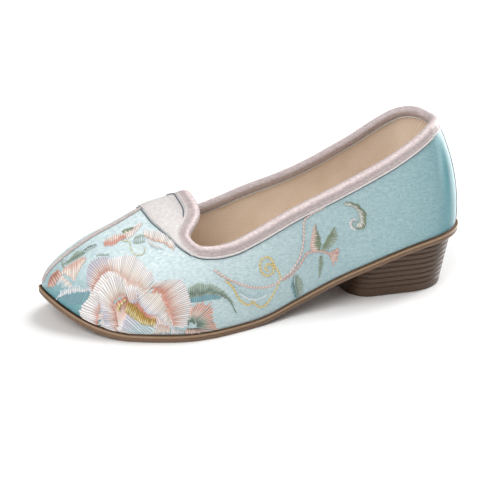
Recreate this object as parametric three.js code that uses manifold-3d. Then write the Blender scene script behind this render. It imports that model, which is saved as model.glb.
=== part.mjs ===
// A lady's cloth pump with a low stacked-look heel: satin upper, bound collar, vamp tab, moulded sole.
// Left shoe. Millimetres, +X to the toe, +Y to the wearer's left, +Z up, origin under the middle of the box.
import * as THREE from 'three';
import { mergeVertices } from 'three/addons/utils/BufferGeometryUtils.js';
import Module from 'manifold-3d';

const wasm = await Module();
wasm.setup();

// Driving dimensions
const soleLength = 233.5;
const ballWidth = 82;
const heelRise = 31;
const toeSpring = 13.5;
const crestHeight = 62;
const soleThickness = 3.4;
const rimProud = 1.3;
const rimLip = 1.4;
const lipStep = 0.5;
const lipSlope = 0.1;
const soleEdge = 0.6;
const upperWall = 1.8;
const insoleThickness = 2.2;
const backLean = 27;
const leanPower = 2;
const clearance = 0.3;

const bindingDepth = 5.2;
const bindingThickness = 1.1;
const bindingTurn = 0.8;
const bindingTuck = 0.8;
const pipingWidth = 2.6;
const pipingHeight = 1.4;
const pipingSeat = 0.6;
const pipingGapShare = 0.006;
const pipingEndShare = 0.999;
const pipingStationCount = 26;
const tabThickness = 0.9;
const tabGap = 0.9;
const tabRowCount = 7;
const tabStartShare = 0.65;
const stripThickness = 0.7;
const stripEndShare = 0.985;
const stripStationCount = 3;

const heelLength = 64.5;
const heelWidth = 50;
const heelTaper = 8.6;
const heelCorner = 11;
const heelBackLean = 4.8;
const heelOvalRatio = 1.3;
const heelSetIn = 3.2;
const heelBand = 4.6;
const heelEdge = 0.6;
const layerPitch = 3;
const grooveWidth = 1;
const grooveDepth = 0.5;

// Plan of the sole: left and right are the half widths to the wearer's left and right of the heel-to-toe
// line, before the round ends, as shares of the ball width. Rise is the underside's height, as a share of the
// heel rise, and spring is what the toe adds, as a share of the toe spring.
const solePlan = [
  { share: 0.00, left: 0.296, right: 0.293, rise: 1.000, spring: 0 },
  { share: 0.10, left: 0.326, right: 0.307, rise: 0.925, spring: 0 },
  { share: 0.18, left: 0.343, right: 0.317, rise: 0.802, spring: 0 },
  { share: 0.26, left: 0.346, right: 0.312, rise: 0.622, spring: 0 },
  { share: 0.35, left: 0.360, right: 0.300, rise: 0.423, spring: 0 },
  { share: 0.45, left: 0.409, right: 0.304, rise: 0.192, spring: 0 },
  { share: 0.54, left: 0.485, right: 0.341, rise: 0.030, spring: 0 },
  { share: 0.62, left: 0.549, right: 0.386, rise: 0.000, spring: 0 },
  { share: 0.68, left: 0.585, right: 0.410, rise: 0.000, spring: 0 },
  { share: 0.74, left: 0.586, right: 0.414, rise: 0.000, spring: 0 },
  { share: 0.80, left: 0.540, right: 0.405, rise: 0.000, spring: 0 },
  { share: 0.86, left: 0.474, right: 0.386, rise: 0.000, spring: 0.01 },
  { share: 0.91, left: 0.409, right: 0.353, rise: 0.000, spring: 0.18 },
  { share: 0.95, left: 0.352, right: 0.319, rise: 0.000, spring: 0.46 },
  { share: 1.00, left: 0.304, right: 0.290, rise: 0.000, spring: 1 },
];

// Sections of the last over that plan: crest is the ridge line's height over the floor, as a share of the
// crest height, and over the open mouth it is where the walls would meet. Swell is how far the wall stands
// out past the feather line. Rise, shoulder and drop set the fullness of the side, the shoulder and the peak.
const lastSections = [
  { share: 0.00, crest: 1.725, swell: 0.10, rise: 0.30, shoulder: 1.020, drop: 0.00 },
  { share: 0.12, crest: 1.750, swell: 0.10, rise: 0.30, shoulder: 1.075, drop: 0.00 },
  { share: 0.25, crest: 1.545, swell: 0.08, rise: 0.30, shoulder: 1.080, drop: 0.00 },
  { share: 0.38, crest: 1.340, swell: 0.06, rise: 0.30, shoulder: 1.040, drop: 0.02 },
  { share: 0.50, crest: 1.223, swell: 0.05, rise: 0.32, shoulder: 0.975, drop: 0.04 },
  { share: 0.60, crest: 1.064, swell: 0.04, rise: 0.36, shoulder: 0.820, drop: 0.06 },
  { share: 0.68, crest: 0.976, swell: 0.04, rise: 0.42, shoulder: 0.710, drop: 0.08 },
  { share: 0.76, crest: 0.898, swell: 0.05, rise: 0.48, shoulder: 0.640, drop: 0.08 },
  { share: 0.84, crest: 0.750, swell: 0.06, rise: 0.52, shoulder: 0.620, drop: 0.07 },
  { share: 0.92, crest: 0.630, swell: 0.07, rise: 0.55, shoulder: 0.640, drop: 0.05 },
  { share: 1.00, crest: 0.580, swell: 0.08, rise: 0.55, shoulder: 0.660, drop: 0.03 },
];

// The collar, from the back seam forward to the throat and out round half of the tab: share runs along the
// last, and around is 0 on the ridge and 1 at the feather.
const collarLine = [
  { share: 0.000, around: 0.338 },
  { share: 0.020, around: 0.324 },
  { share: 0.045, around: 0.332 },
  { share: 0.080, around: 0.354 },
  { share: 0.140, around: 0.390 },
  { share: 0.220, around: 0.409 },
  { share: 0.310, around: 0.416 },
  { share: 0.400, around: 0.418 },
  { share: 0.490, around: 0.432 },
  { share: 0.570, around: 0.445 },
  { share: 0.625, around: 0.458 },
  { share: 0.667, around: 0.448 },
  { share: 0.694, around: 0.420 },
  { share: 0.708, around: 0.345 },
  { share: 0.693, around: 0.287 },
  { share: 0.681, around: 0.247 },
  { share: 0.672, around: 0.200 },
  { share: 0.668, around: 0.140 },
  { share: 0.668, around: 0.070 },
  { share: 0.668, around: 0.000 },
];

// Round ends: where the toe and heel closures start, and how blunt they are. The heel closes over a longer
// way at the collar than at the feather.
const toeStartShare = 0.82;
const toeBlunt = 2.4;
const crownStartShare = 0.86;
const heelEndShare = 0.13;
const collarEndShare = 0.18;
const toeCut = 1.5;
const toeCutShare = 0.88;
const heelBlunt = 2.3;
const leanReachShare = 0.30;

const lerp = (a, b, t) => a + (b - a) * t;

// A smooth curve through a table's column, with slopes taken from the neighbouring rows.
function tableCurve(rows, key, by = 'share') {
  const slopes = rows.map((row, i) => {
    const before = rows[Math.max(i - 1, 0)];
    const after = rows[Math.min(i + 1, rows.length - 1)];
    return (after[key] - before[key]) / (after[by] - before[by]);
  });
  return (at) => {
    let i = 0;
    while (i < rows.length - 2 && at > rows[i + 1][by]) {
      i += 1;
    }
    const span = rows[i + 1][by] - rows[i][by];
    const t = THREE.MathUtils.clamp((at - rows[i][by]) / span, 0, 1);
    const t2 = t * t;
    const t3 = t2 * t;
    return rows[i][key] * (2 * t3 - 3 * t2 + 1) + slopes[i] * span * (t3 - 2 * t2 + t)
      + rows[i + 1][key] * (3 * t2 - 2 * t3) + slopes[i + 1] * span * (t3 - t2);
  };
}

const planLeft = tableCurve(solePlan, 'left');
const planRight = tableCurve(solePlan, 'right');
const planRise = tableCurve(solePlan, 'rise');
const planSpring = tableCurve(solePlan, 'spring');
const lastCrest = tableCurve(lastSections, 'crest');
const lastSwell = tableCurve(lastSections, 'swell');
const lastRise = tableCurve(lastSections, 'rise');
const lastShoulder = tableCurve(lastSections, 'shoulder');
const lastDrop = tableCurve(lastSections, 'drop');

// How far a round end has closed, from 1 where it starts to 0 at its tip.
function roundEnd(distance, blunt) {
  const reach = THREE.MathUtils.clamp(distance, 0, 1);
  return Math.sqrt(Math.max(0, 1 - reach ** blunt));
}

// The share of the width that the round ends leave, where the heel's closure starts at the share called back.
function endWidth(share, back = heelEndShare) {
  const toe = roundEnd((share - toeStartShare) / (1 - toeStartShare), toeBlunt);
  const heel = roundEnd((back - share) / back, heelBlunt);
  return toe * heel;
}

function undersideHeight(share) {
  const arch = Math.max(0, heelRise * planRise(share));
  return arch + Math.max(0, toeSpring * planSpring(share));
}

// How far along the shoe a share of the last lies. The toe's end is cut back, which leaves it blunter.
function alongShoe(share) {
  const cut = THREE.MathUtils.clamp((share - toeCutShare) / (1 - toeCutShare), 0, 1);
  return (soleLength + toeCut) * share - toeCut * cut * cut;
}

// Half width of the plan on one side, before the round ends: side is 1 to the wearer's left, -1 to the right.
function planHalf(share, side) {
  return ballWidth * (side > 0 ? planLeft(share) : planRight(share));
}

function soleHalf(share, side) {
  return planHalf(share, side) * endWidth(share);
}

// A point of the last's surface, where the upper's outer face lies: around runs from -1 at the right feather
// through 0 on the ridge to 1 at the left feather.
function lastPoint(share, around) {
  const side = around < 0 ? -1 : 1;
  const t = 1 - Math.abs(around);
  const u = 1 - t;
  const half = planHalf(share, side) - rimProud;
  const feather = half * endWidth(share);
  const shoulder = half * endWidth(share, collarEndShare) * lastShoulder(share);
  const base = undersideHeight(share) + soleThickness + clearance;
  const crown = roundEnd((share - crownStartShare) / (1 - crownStartShare), toeBlunt);
  const height = (crestHeight * lastCrest(share) - base) * crown;
  const y = feather * (u ** 3 + 3 * u * u * t * (1 + lastSwell(share))) + 3 * u * t * t * shoulder;
  const rise = 3 * u * u * t * lastRise(share) + 3 * u * t * t * (1 - lastDrop(share)) + t ** 3;
  const near = Math.max(0, 1 - share / leanReachShare);
  const lean = backLean * near * near * rise ** leanPower;
  const x = alongShoe(share) + lean + rimProud * (1 - 2 * share);
  return new THREE.Vector3(x, side * y, base + height * rise);
}

// The outward normal there. Near the ridge and the round ends it blends into that of the other side.
const normalStepShare = 0.0015;
const normalRoom = 3 * normalStepShare;

function oneSideNormal(share, around) {
  const side = around < 0 ? -1 : 1;
  const near = side * (Math.abs(around) - normalStepShare);
  const far = side * Math.min(Math.abs(around) + normalStepShare, 1);
  const along = lastPoint(share + normalStepShare, around).sub(lastPoint(share - normalStepShare, around));
  const down = lastPoint(share, far).sub(lastPoint(share, near)).multiplyScalar(side);
  return along.cross(down).normalize();
}

function lastNormal(share, around) {
  const side = around < 0 ? -1 : 1;
  const s = THREE.MathUtils.clamp(share, normalRoom, 1 - normalRoom);
  const a = side * Math.max(Math.abs(around), normalRoom);
  const fromEnd = Math.sqrt(Math.min(share, 1 - share, normalRoom) / normalRoom);
  const fromRidge = Math.min(Math.abs(around), normalRoom) / normalRoom;
  const own = Math.min(fromEnd, fromRidge);
  const normal = oneSideNormal(s, a).multiplyScalar(1 + own);
  return normal.addScaledVector(oneSideNormal(s, -a), 1 - own).normalize();
}

function geometryFrom(points, triangles) {
  const geometry = new THREE.BufferGeometry();
  const numbers = points.flatMap((p) => [p.x, p.y, p.z]);
  geometry.setAttribute('position', new THREE.Float32BufferAttribute(numbers, 3));
  geometry.setIndex(triangles.flat());
  return cleanMesh(geometry);
}

function signedVolume(geometry) {
  const { attributes, index } = geometry;
  const corner = (i) => new THREE.Vector3().fromBufferAttribute(attributes.position, index.array[i]);
  let volume = 0;
  for (let i = 0; i < index.count; i += 3) {
    volume += corner(i).dot(corner(i + 1).cross(corner(i + 2))) / 6;
  }
  return volume;
}

const mergeDistance = 1e-4;

// Merges equal corners, leaves out the triangles that they flatten and turns the faces outwards.
function cleanMesh(geometry) {
  const merged = mergeVertices(geometry, mergeDistance);
  const index = merged.index.array;
  const kept = [];
  for (let i = 0; i < index.length; i += 3) {
    const [a, b, c] = [index[i], index[i + 1], index[i + 2]];
    if (a !== b && b !== c && c !== a) {
      kept.push(a, b, c);
    }
  }
  merged.setIndex(kept);
  if (signedVolume(merged) < 0) {
    merged.setIndex(kept.reverse());
  }
  merged.computeVertexNormals();
  return merged;
}

// Closed rings of equal count, joined one to the next. The ends are closed by fans, or the rings meet in a
// loop.
function loft(rings, looped = false) {
  const count = rings[0].length;
  const points = rings.flat();
  const triangles = [];
  const links = looped ? rings.length : rings.length - 1;
  for (let i = 0; i < links; i += 1) {
    const next = (i + 1) % rings.length;
    for (let j = 0; j < count; j += 1) {
      const k = (j + 1) % count;
      const [a, b, c, d] = [i * count + j, i * count + k, next * count + k, next * count + j];
      triangles.push([a, b, c], [a, c, d]);
    }
  }
  if (!looped) {
    const last = (rings.length - 1) * count;
    for (let j = 1; j < count - 1; j += 1) {
      triangles.push([0, j + 1, j], [last, last + j, last + j + 1]);
    }
  }
  return geometryFrom(points, triangles);
}

function toSolid(geometry) {
  const mesh = new wasm.Mesh({
    numProp: 3,
    vertProperties: new Float32Array(geometry.attributes.position.array),
    triVerts: new Uint32Array(geometry.index.array),
  });
  return new wasm.Manifold(mesh);
}

function fromSolid(solid) {
  const mesh = solid.getMesh();
  const geometry = new THREE.BufferGeometry();
  geometry.setAttribute('position', new THREE.BufferAttribute(mesh.vertProperties, 3));
  geometry.setIndex(new THREE.BufferAttribute(mesh.triVerts, 1));
  geometry.computeVertexNormals();
  return geometry;
}

// How finely the curved pieces are faceted.
const lastStationCount = 42;
const lastFacetCount = 20;
const plateStationCount = 30;
const outsoleStationCount = 44;
const heelCornerCount = 4;
const heelBackCount = 8;

const steps = (count) => Array.from({ length: count + 1 }, (_, i) => i / count);
const endDense = (t) => (1 - Math.cos(Math.PI * t)) / 2;

// A solid of the last's own shape, its surface moved in by inset, its foot lengthened by skirt.
function lastForm(inset, skirt, stations = lastStationCount, facets = lastFacetCount) {
  const rings = steps(stations).map((t) => {
    const share = endDense(t);
    const arch = steps(facets).map((f) => {
      const around = lerp(-1, 1, f);
      return lastPoint(share, around).addScaledVector(lastNormal(share, around), -inset);
    });
    const drop = new THREE.Vector3(0, 0, -skirt);
    return [arch[0].clone().add(drop), ...arch, arch[facets].clone().add(drop)];
  });
  return loft(rings);
}

// The collar as points of the last at equal steps, once round: along the left side, over the tab and back.
function collarStations(perSide) {
  const rows = collarLine.map((row) => new THREE.Vector3(row.share * soleLength, row.around * ballWidth, 0));
  const chart = new THREE.CatmullRomCurve3(rows, false, 'centripetal').getPoints(collarSampleCount)
    .map((p) => ({ share: p.x / soleLength, around: p.y / ballWidth }));
  const places = chart.map((p) => lastPoint(p.share, p.around));
  const lengths = [0];
  for (let i = 1; i < places.length; i += 1) {
    lengths.push(lengths[i - 1] + places[i].distanceTo(places[i - 1]));
  }
  const left = steps(perSide).map((t) => {
    const goal = t * lengths[lengths.length - 1];
    const i = Math.max(1, lengths.findIndex((length) => length >= goal - surfaceStepShare));
    const part = THREE.MathUtils.clamp((goal - lengths[i - 1]) / (lengths[i] - lengths[i - 1]), 0, 1);
    return {
      share: lerp(chart[i - 1].share, chart[i].share, part),
      around: lerp(chart[i - 1].around, chart[i].around, part),
    };
  });
  const right = left.slice(1, -1).reverse().map((p) => ({ share: p.share, around: -p.around }));
  return [...left, ...right];
}

// The collar's stations with their edge point, the surface's normal and the way down from the edge.
function collarFrames(perSide) {
  const stations = collarStations(perSide);
  const edge = stations.map((p) => lastPoint(p.share, p.around));
  return stations.map((p, i) => {
    const before = edge[(i + edge.length - 1) % edge.length];
    const tangent = edge[(i + 1) % edge.length].clone().sub(before).normalize();
    const normal = lastNormal(p.share, p.around);
    const inward = normal.clone().cross(tangent).normalize();
    return { ...p, point: edge[i], normal, inward };
  });
}

const surfaceStepShare = 0.01;
const backReachShare = 0.1;
const collarStepCount = 38;
const collarSampleCount = 300;

// Where a point of the collar comes to lie, in share and around, when it moves down the surface by depth.
function collarMoved(frame, depth) {
  const side = frame.around < 0 ? -1 : 1;
  const around = Math.max(Math.abs(frame.around), surfaceStepShare) * side;
  const step = surfaceStepShare;
  const low = lastPoint(frame.share, around + side * step);
  const down = low.sub(lastPoint(frame.share, around - side * step)).divideScalar(2 * step);
  if (frame.share < backReachShare) {
    return { share: frame.share, around: frame.around + side * depth / down.length() };
  }
  const ahead = lastPoint(frame.share + step, around);
  const along = ahead.sub(lastPoint(frame.share - step, around)).divideScalar(2 * step);
  const mix = along.dot(down);
  const scale = depth / (along.lengthSq() * down.lengthSq() - mix * mix);
  const alongShare = frame.inward.dot(along);
  const downShare = frame.inward.dot(down);
  const stepAround = side * (downShare * along.lengthSq() - alongShare * mix) * scale;
  return {
    share: frame.share + (alongShare * down.lengthSq() - downShare * mix) * scale,
    around: Math.abs(frame.around) < normalStepShare ? 0 : frame.around + stepAround,
  };
}

// A point near the collar: depth is measured from its edge down the surface, lift out from the last.
function collarPoint(frame, depth, lift) {
  if (depth <= 0) {
    return frame.point.clone().addScaledVector(frame.inward, depth).addScaledVector(frame.normal, lift);
  }
  const { share, around } = collarMoved(frame, depth);
  return lastPoint(share, around).addScaledVector(lastNormal(share, around), lift);
}

// The mouth's cutter: how far it reaches into the wall and out of it, and where it closes inside the shoe.
const cutInward = 5.4;
const cutOutward = 10.8;
const cutCentreShare = 0.36;
const cutCentreHeight = 46.5;

// What is cut out of the last to open the mouth: a wall along the collar, closed over the foot and inside it.
// With room, the cut stays that far inside the mouth.
function mouthCutter(room = 0) {
  const inside = new THREE.Vector3(soleLength * cutCentreShare, 0, cutCentreHeight);
  const above = crestHeight * 2;
  const rings = collarFrames(collarStepCount).map((frame) => {
    const low = collarPoint(frame, -room, -cutInward);
    const high = collarPoint(frame, -room, cutOutward);
    const top = high.clone().setZ(high.z + above);
    const middle = new THREE.Vector3(inside.x, 0, above + crestHeight);
    return [inside.clone(), low, high, top, middle];
  });
  return loft(rings, true);
}

// How far the hollow runs down past the upper's foot, so that it opens underneath.
const hollowSkirt = 7.2;

// The upper's wall, made thicker by room on both faces and at the collar's edge.
function upperSolid(room) {
  const outer = toSolid(lastForm(-room, room));
  const inner = toSolid(lastForm(upperWall + room, hollowSkirt));
  return outer.subtract(inner).subtract(toSolid(mouthCutter(room)));
}

const makeUpper = () => fromSolid(upperSolid(0));

// How far the fold's shoulders stand from its middle, as a share of its half thickness.
const bindingShoulder = 0.75;

// The binding folds over the collar's edge: a band round it, cut by the wall and its clearance. Its section
// runs from the outer edge over the top to the inner edge, as depth down the wall and lift off it.
function makeBinding() {
  const out = clearance + bindingThickness;
  const far = -upperWall - clearance - bindingThickness;
  const middle = (out + far) / 2;
  const top = -clearance - bindingThickness;
  const inner = bindingDepth - bindingTuck;
  const section = [
    [bindingDepth, middle],
    [bindingDepth, out],
    [bindingTurn, out],
    [top / 2, lerp(middle, out, bindingShoulder)],
    [top, middle],
    [top / 2, lerp(middle, far, bindingShoulder)],
    [bindingTurn, far],
    [inner, far],
    [inner, middle],
  ];
  const frames = collarFrames(collarStepCount);
  const rings = frames.map((frame) => section.map(([depth, lift]) => collarPoint(frame, depth, lift)));
  return fromSolid(toSolid(loft(rings, true)).subtract(upperSolid(clearance)));
}

// The white panel under the tab: its lower edge, from the point on the ridge out to the collar's binding.
const tabPanel = [
  { share: 0.774, around: 0.000 },
  { share: 0.773, around: 0.060 },
  { share: 0.769, around: 0.162 },
  { share: 0.760, around: 0.240 },
  { share: 0.748, around: 0.320 },
  { share: 0.733, around: 0.413 },
  { share: 0.712, around: 0.480 },
];

// A thin piece over the last: rows of places in share and around, its low face one clearance off the wall.
function overlay(rows, thickness) {
  const [high, wide] = [rows.length, rows[0].length];
  const lay = (lift) => rows.flat().map((at) => lastPoint(at.share, at.around)
    .addScaledVector(lastNormal(at.share, at.around), lift));
  const top = high * wide;
  const triangles = [];
  const quad = (a, b, c, d) => triangles.push([a, b, c], [a, c, d]);
  for (let i = 0; i < high - 1; i += 1) {
    for (let j = 0; j < wide - 1; j += 1) {
      const at = i * wide + j;
      quad(at, at + wide, at + wide + 1, at + 1);
      quad(top + at, top + at + 1, top + at + wide + 1, top + at + wide);
    }
    const [left, right] = [i * wide, (i + 1) * wide - 1];
    quad(left, top + left, top + left + wide, left + wide);
    quad(right, right + wide, top + right + wide, top + right);
  }
  for (let j = 0; j < wide - 1; j += 1) {
    const end = (high - 1) * wide + j;
    quad(j, j + 1, top + j + 1, top + j);
    quad(end, top + end, top + end + 1, end + 1);
  }
  return geometryFrom([...lay(clearance), ...lay(clearance + thickness)], triangles);
}

// The panel lies between the binding's edge and that line.
function makeTab() {
  const widest = tabPanel[tabPanel.length - 1].around;
  const edgeShare = tableCurve(tabPanel, 'share', 'around');
  const upper = collarFrames(collarStepCount)
    .filter((frame) => frame.share > tabStartShare)
    .map((frame) => collarMoved(frame, bindingDepth + tabGap))
    .filter((at) => Math.abs(at.around) < widest && at.share < edgeShare(Math.abs(at.around)))
    .sort((a, b) => a.around - b.around);
  const rows = upper.map((from, i) => {
    const around = widest * lerp(-1, 1, i / (upper.length - 1));
    const share = edgeShare(Math.abs(around));
    return steps(tabRowCount).map((t) => ({
      share: lerp(from.share, share, t),
      around: lerp(from.around, around, t),
    }));
  });
  return overlay(rows, tabThickness);
}

// The piping on the toe's centre seam, from the panel's point to the feather at the toe.
function makePiping() {
  const section = [[-1, 0], [1, 0], [0.9, 0.5], [0.4, 1], [-0.4, 1], [-0.9, 0.5]];
  const rings = steps(pipingStationCount).map((t) => {
    const share = lerp(tabPanel[0].share + pipingGapShare, pipingEndShare, Math.sin(t * Math.PI / 2));
    const point = lastPoint(share, 0);
    const normal = lastNormal(share, 0);
    return section.map(([across, lift]) => point.clone()
      .addScaledVector(normal, pipingSeat + pipingHeight * lift)
      .add(new THREE.Vector3(0, across * pipingWidth / 2, 0)));
  });
  return loft(rings);
}

// Outline of the sole as pairs of left and right points, each with the side's outward direction.
function soleLine(stations) {
  const shares = steps(stations).map(endDense);
  const left = shares.map((s) => new THREE.Vector2(alongShoe(s), soleHalf(s, 1)));
  const right = shares.map((s) => new THREE.Vector2(alongShoe(s), -soleHalf(s, -1)));
  const loop = [...left, ...right.slice(1, -1).reverse()];
  const outward = loop.map((p, i) => {
    const before = loop[(i + loop.length - 1) % loop.length];
    const along = loop[(i + 1) % loop.length].clone().sub(before).normalize();
    return new THREE.Vector2(-along.y, along.x);
  });
  const shareOf = [...shares, ...shares.slice(1, -1).reverse()];
  return loop.map((p, i) => ({ point: p, outward: outward[i], share: shareOf[i] }));
}

// A plate that follows the sole: its side is a list of [inset, height over the underside], low edge first.
function solePlate(side, stations, from = 0) {
  const line = soleLine(stations);
  const count = line.length;
  const at = (p, [inset, height]) => {
    const spot = p.point.clone().addScaledVector(p.outward, -inset);
    return new THREE.Vector3(spot.x, spot.y, undersideHeight(p.share) + height + from);
  };
  const points = side.flatMap((row) => line.map((p) => at(p, row)));
  const triangles = [];
  for (let r = 0; r < side.length - 1; r += 1) {
    for (let i = 0; i < count; i += 1) {
      const k = (i + 1) % count;
      const [a, b, c, d] = [r * count + i, r * count + k, (r + 1) * count + k, (r + 1) * count + i];
      triangles.push([a, c, b], [a, d, c]);
    }
  }
  const top = (side.length - 1) * count;
  for (let i = 0; i < stations; i += 1) {
    const [l0, l1] = [i, i + 1];
    const [r0, r1] = [(count - i) % count, count - i - 1];
    triangles.push([l0, l1, r1], [l0, r1, r0]);
    triangles.push([top + l0, top + r1, top + l1], [top + l0, top + r0, top + r1]);
  }
  return geometryFrom(points, triangles);
}

function makeOutsole() {
  const lip = soleThickness - rimLip;
  const side = [[soleEdge, 0], [0, soleEdge], [0, lip], [lipStep, lip + lipSlope], [lipStep, soleThickness]];
  return solePlate(side, outsoleStationCount);
}

function makeInsole() {
  const inset = rimProud + upperWall + 2 * clearance;
  const low = soleThickness + clearance;
  return solePlate([[inset, low], [inset, low + insoleThickness]], plateStationCount);
}

// Plan of the heel block at one level, once round: an oval back and a flat front with round corners.
function heelOutline(narrow, forward) {
  const half = heelWidth / 2 - narrow;
  const back = heelSetIn + forward;
  const front = heelSetIn + heelLength;
  const middle = back + half * heelOvalRatio;
  const corner = steps(heelCornerCount).map((t) => {
    const angle = t * Math.PI / 2;
    return [front - heelCorner * (1 - Math.cos(angle)), half - heelCorner * (1 - Math.sin(angle))];
  });
  const rear = steps(heelBackCount).map((t) => {
    const angle = Math.PI / 2 + t * Math.PI / 2;
    return [middle + (middle - back) * Math.cos(angle), half * Math.sin(angle)];
  });
  const left = [...corner, ...rear];
  return [...left, ...left.slice(0, -1).reverse().map(([x, y]) => [x, -y])];
}

// The block stands on the floor with grooves between its layers, and the sole's underside cuts its top.
function makeHeel() {
  const levels = [[0, heelEdge], [heelEdge, 0], [heelBand, 0]];
  for (let z = heelBand; z < heelRise + layerPitch; z += layerPitch) {
    levels.push([z + grooveWidth / 2, grooveDepth], [z + grooveWidth, 0], [z + layerPitch, 0]);
  }
  const rings = levels.map(([z, inset]) => {
    const low = 1 - z / heelRise;
    return heelOutline(inset + heelTaper / 2 * low, inset + heelBackLean * low)
      .map(([x, y]) => new THREE.Vector3(x, y, z));
  });
  const over = solePlate([[-heelRise, 0], [-heelRise, 2 * heelRise]], plateStationCount, -clearance);
  return fromSolid(toSolid(loft(rings)).subtract(toSolid(over)));
}

// The strip over the back seam, from the binding down to the feather. Its edges lie on the wall's stations.
function makeBackStrip() {
  const top = collarMoved(collarFrames(collarStepCount)[0], bindingDepth + 2 * clearance).around;
  const across = steps(2 * stripStationCount).map((t, i) => i - stripStationCount);
  const rows = steps(lastFacetCount / 2).map((t) => across.map((i) => ({
    share: endDense(Math.abs(i) / lastStationCount),
    around: lerp(top, stripEndShare, t) * (i < 0 ? -1 : 1),
  })));
  return overlay(rows, stripThickness);
}

const finishes = {
  outsole: { color: '#8a6f56', roughness: 0.6 },
  heel: { color: '#5d4636', roughness: 0.6 },
  insole: { color: '#c8ad92', roughness: 0.9 },
  upper: { color: '#a3c8d0', roughness: 0.45 },
  collar_binding: { color: '#d8cccb', roughness: 0.5 },
  vamp_tab: { color: '#efecea', roughness: 0.5 },
  vamp_piping: { color: '#e2d4d2', roughness: 0.5 },
  back_strip: { color: '#9cc0c9', roughness: 0.45 },
};

const makers = {
  outsole: makeOutsole,
  heel: makeHeel,
  insole: makeInsole,
  upper: makeUpper,
  collar_binding: makeBinding,
  vamp_tab: makeTab,
  vamp_piping: makePiping,
  back_strip: makeBackStrip,
};

const shoe = new THREE.Group();
for (const [name, make] of Object.entries(makers)) {
  const finish = finishes[name];
  const mesh = new THREE.Mesh(make(), new THREE.MeshStandardMaterial({ ...finish, metalness: 0 }));
  mesh.name = name;
  shoe.add(mesh);
}
const box = new THREE.Box3().setFromObject(shoe);
shoe.position.set(-(box.min.x + box.max.x) / 2, -(box.min.y + box.max.y) / 2, -box.min.z);

export default shoe;
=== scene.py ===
"""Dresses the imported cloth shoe: satin upper, bound collar, white vamp panel, sole, heel and embroidery."""
import logging
import math
from dataclasses import dataclass, field
from enum import Enum
from typing import Callable, Sequence

import bmesh
import bpy
import numpy as np
from mathutils import Matrix, Vector


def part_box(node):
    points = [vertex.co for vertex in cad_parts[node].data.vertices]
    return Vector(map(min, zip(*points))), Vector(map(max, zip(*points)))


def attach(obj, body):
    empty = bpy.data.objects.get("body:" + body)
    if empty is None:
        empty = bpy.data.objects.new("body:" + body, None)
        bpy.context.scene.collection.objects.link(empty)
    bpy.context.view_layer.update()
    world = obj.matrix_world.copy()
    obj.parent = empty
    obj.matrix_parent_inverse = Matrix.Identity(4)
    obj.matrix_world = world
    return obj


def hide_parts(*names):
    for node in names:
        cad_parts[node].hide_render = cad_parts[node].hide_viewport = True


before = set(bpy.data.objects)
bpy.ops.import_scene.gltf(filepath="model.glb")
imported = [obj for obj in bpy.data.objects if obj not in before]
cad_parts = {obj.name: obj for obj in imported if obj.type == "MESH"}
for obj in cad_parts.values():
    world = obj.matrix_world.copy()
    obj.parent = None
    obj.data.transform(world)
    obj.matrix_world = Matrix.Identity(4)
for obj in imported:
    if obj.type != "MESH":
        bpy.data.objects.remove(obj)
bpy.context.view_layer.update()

LOG = logging.getLogger("shoe")
# A millimetre in metres, the photograph's side in pixels and the sensor's width in millimetres
MM = 0.001
PHOTO = 500
SENSOR = 36.0

# What merges where a grid closes on itself, in metres
WELD = 1e-7

# A rule from a grid's u and v to its points, its colours or which places stay
GridRule = Callable[[np.ndarray, np.ndarray], np.ndarray]


# The last, as in the part's source

@dataclass(frozen=True)
class PlanRow:
    """One station of the sole's plan, as shares of ball width, heel rise and toe spring."""

    share: float
    left: float
    right: float
    rise: float
    spring: float


@dataclass(frozen=True)
class SectionRow:
    """One section of the last: its crest's height and the fullness of its side, shoulder and peak."""

    share: float
    crest: float
    swell: float
    rise: float
    shoulder: float
    drop: float


@dataclass(frozen=True)
class EdgeRow:
    """One place on the last: its share of the length and how far round it lies from the ridge."""

    share: float
    around: float


SOLE_PLAN = (
    PlanRow(0.00, 0.296, 0.293, 1.000, 0.00),
    PlanRow(0.10, 0.326, 0.307, 0.925, 0.00),
    PlanRow(0.18, 0.343, 0.317, 0.802, 0.00),
    PlanRow(0.26, 0.346, 0.312, 0.622, 0.00),
    PlanRow(0.35, 0.360, 0.300, 0.423, 0.00),
    PlanRow(0.45, 0.409, 0.304, 0.192, 0.00),
    PlanRow(0.54, 0.485, 0.341, 0.030, 0.00),
    PlanRow(0.62, 0.549, 0.386, 0.000, 0.00),
    PlanRow(0.68, 0.585, 0.410, 0.000, 0.00),
    PlanRow(0.74, 0.586, 0.414, 0.000, 0.00),
    PlanRow(0.80, 0.540, 0.405, 0.000, 0.00),
    PlanRow(0.86, 0.474, 0.386, 0.000, 0.01),
    PlanRow(0.91, 0.409, 0.353, 0.000, 0.18),
    PlanRow(0.95, 0.352, 0.319, 0.000, 0.46),
    PlanRow(1.00, 0.304, 0.290, 0.000, 1.00),
)

LAST_SECTIONS = (
    SectionRow(0.00, 1.725, 0.10, 0.30, 1.020, 0.00),
    SectionRow(0.12, 1.750, 0.10, 0.30, 1.075, 0.00),
    SectionRow(0.25, 1.545, 0.08, 0.30, 1.080, 0.00),
    SectionRow(0.38, 1.340, 0.06, 0.30, 1.040, 0.02),
    SectionRow(0.50, 1.223, 0.05, 0.32, 0.975, 0.04),
    SectionRow(0.60, 1.064, 0.04, 0.36, 0.820, 0.06),
    SectionRow(0.68, 0.976, 0.04, 0.42, 0.710, 0.08),
    SectionRow(0.76, 0.898, 0.05, 0.48, 0.640, 0.08),
    SectionRow(0.84, 0.750, 0.06, 0.52, 0.620, 0.07),
    SectionRow(0.92, 0.630, 0.07, 0.55, 0.640, 0.05),
    SectionRow(1.00, 0.580, 0.08, 0.55, 0.660, 0.03),
)

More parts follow.
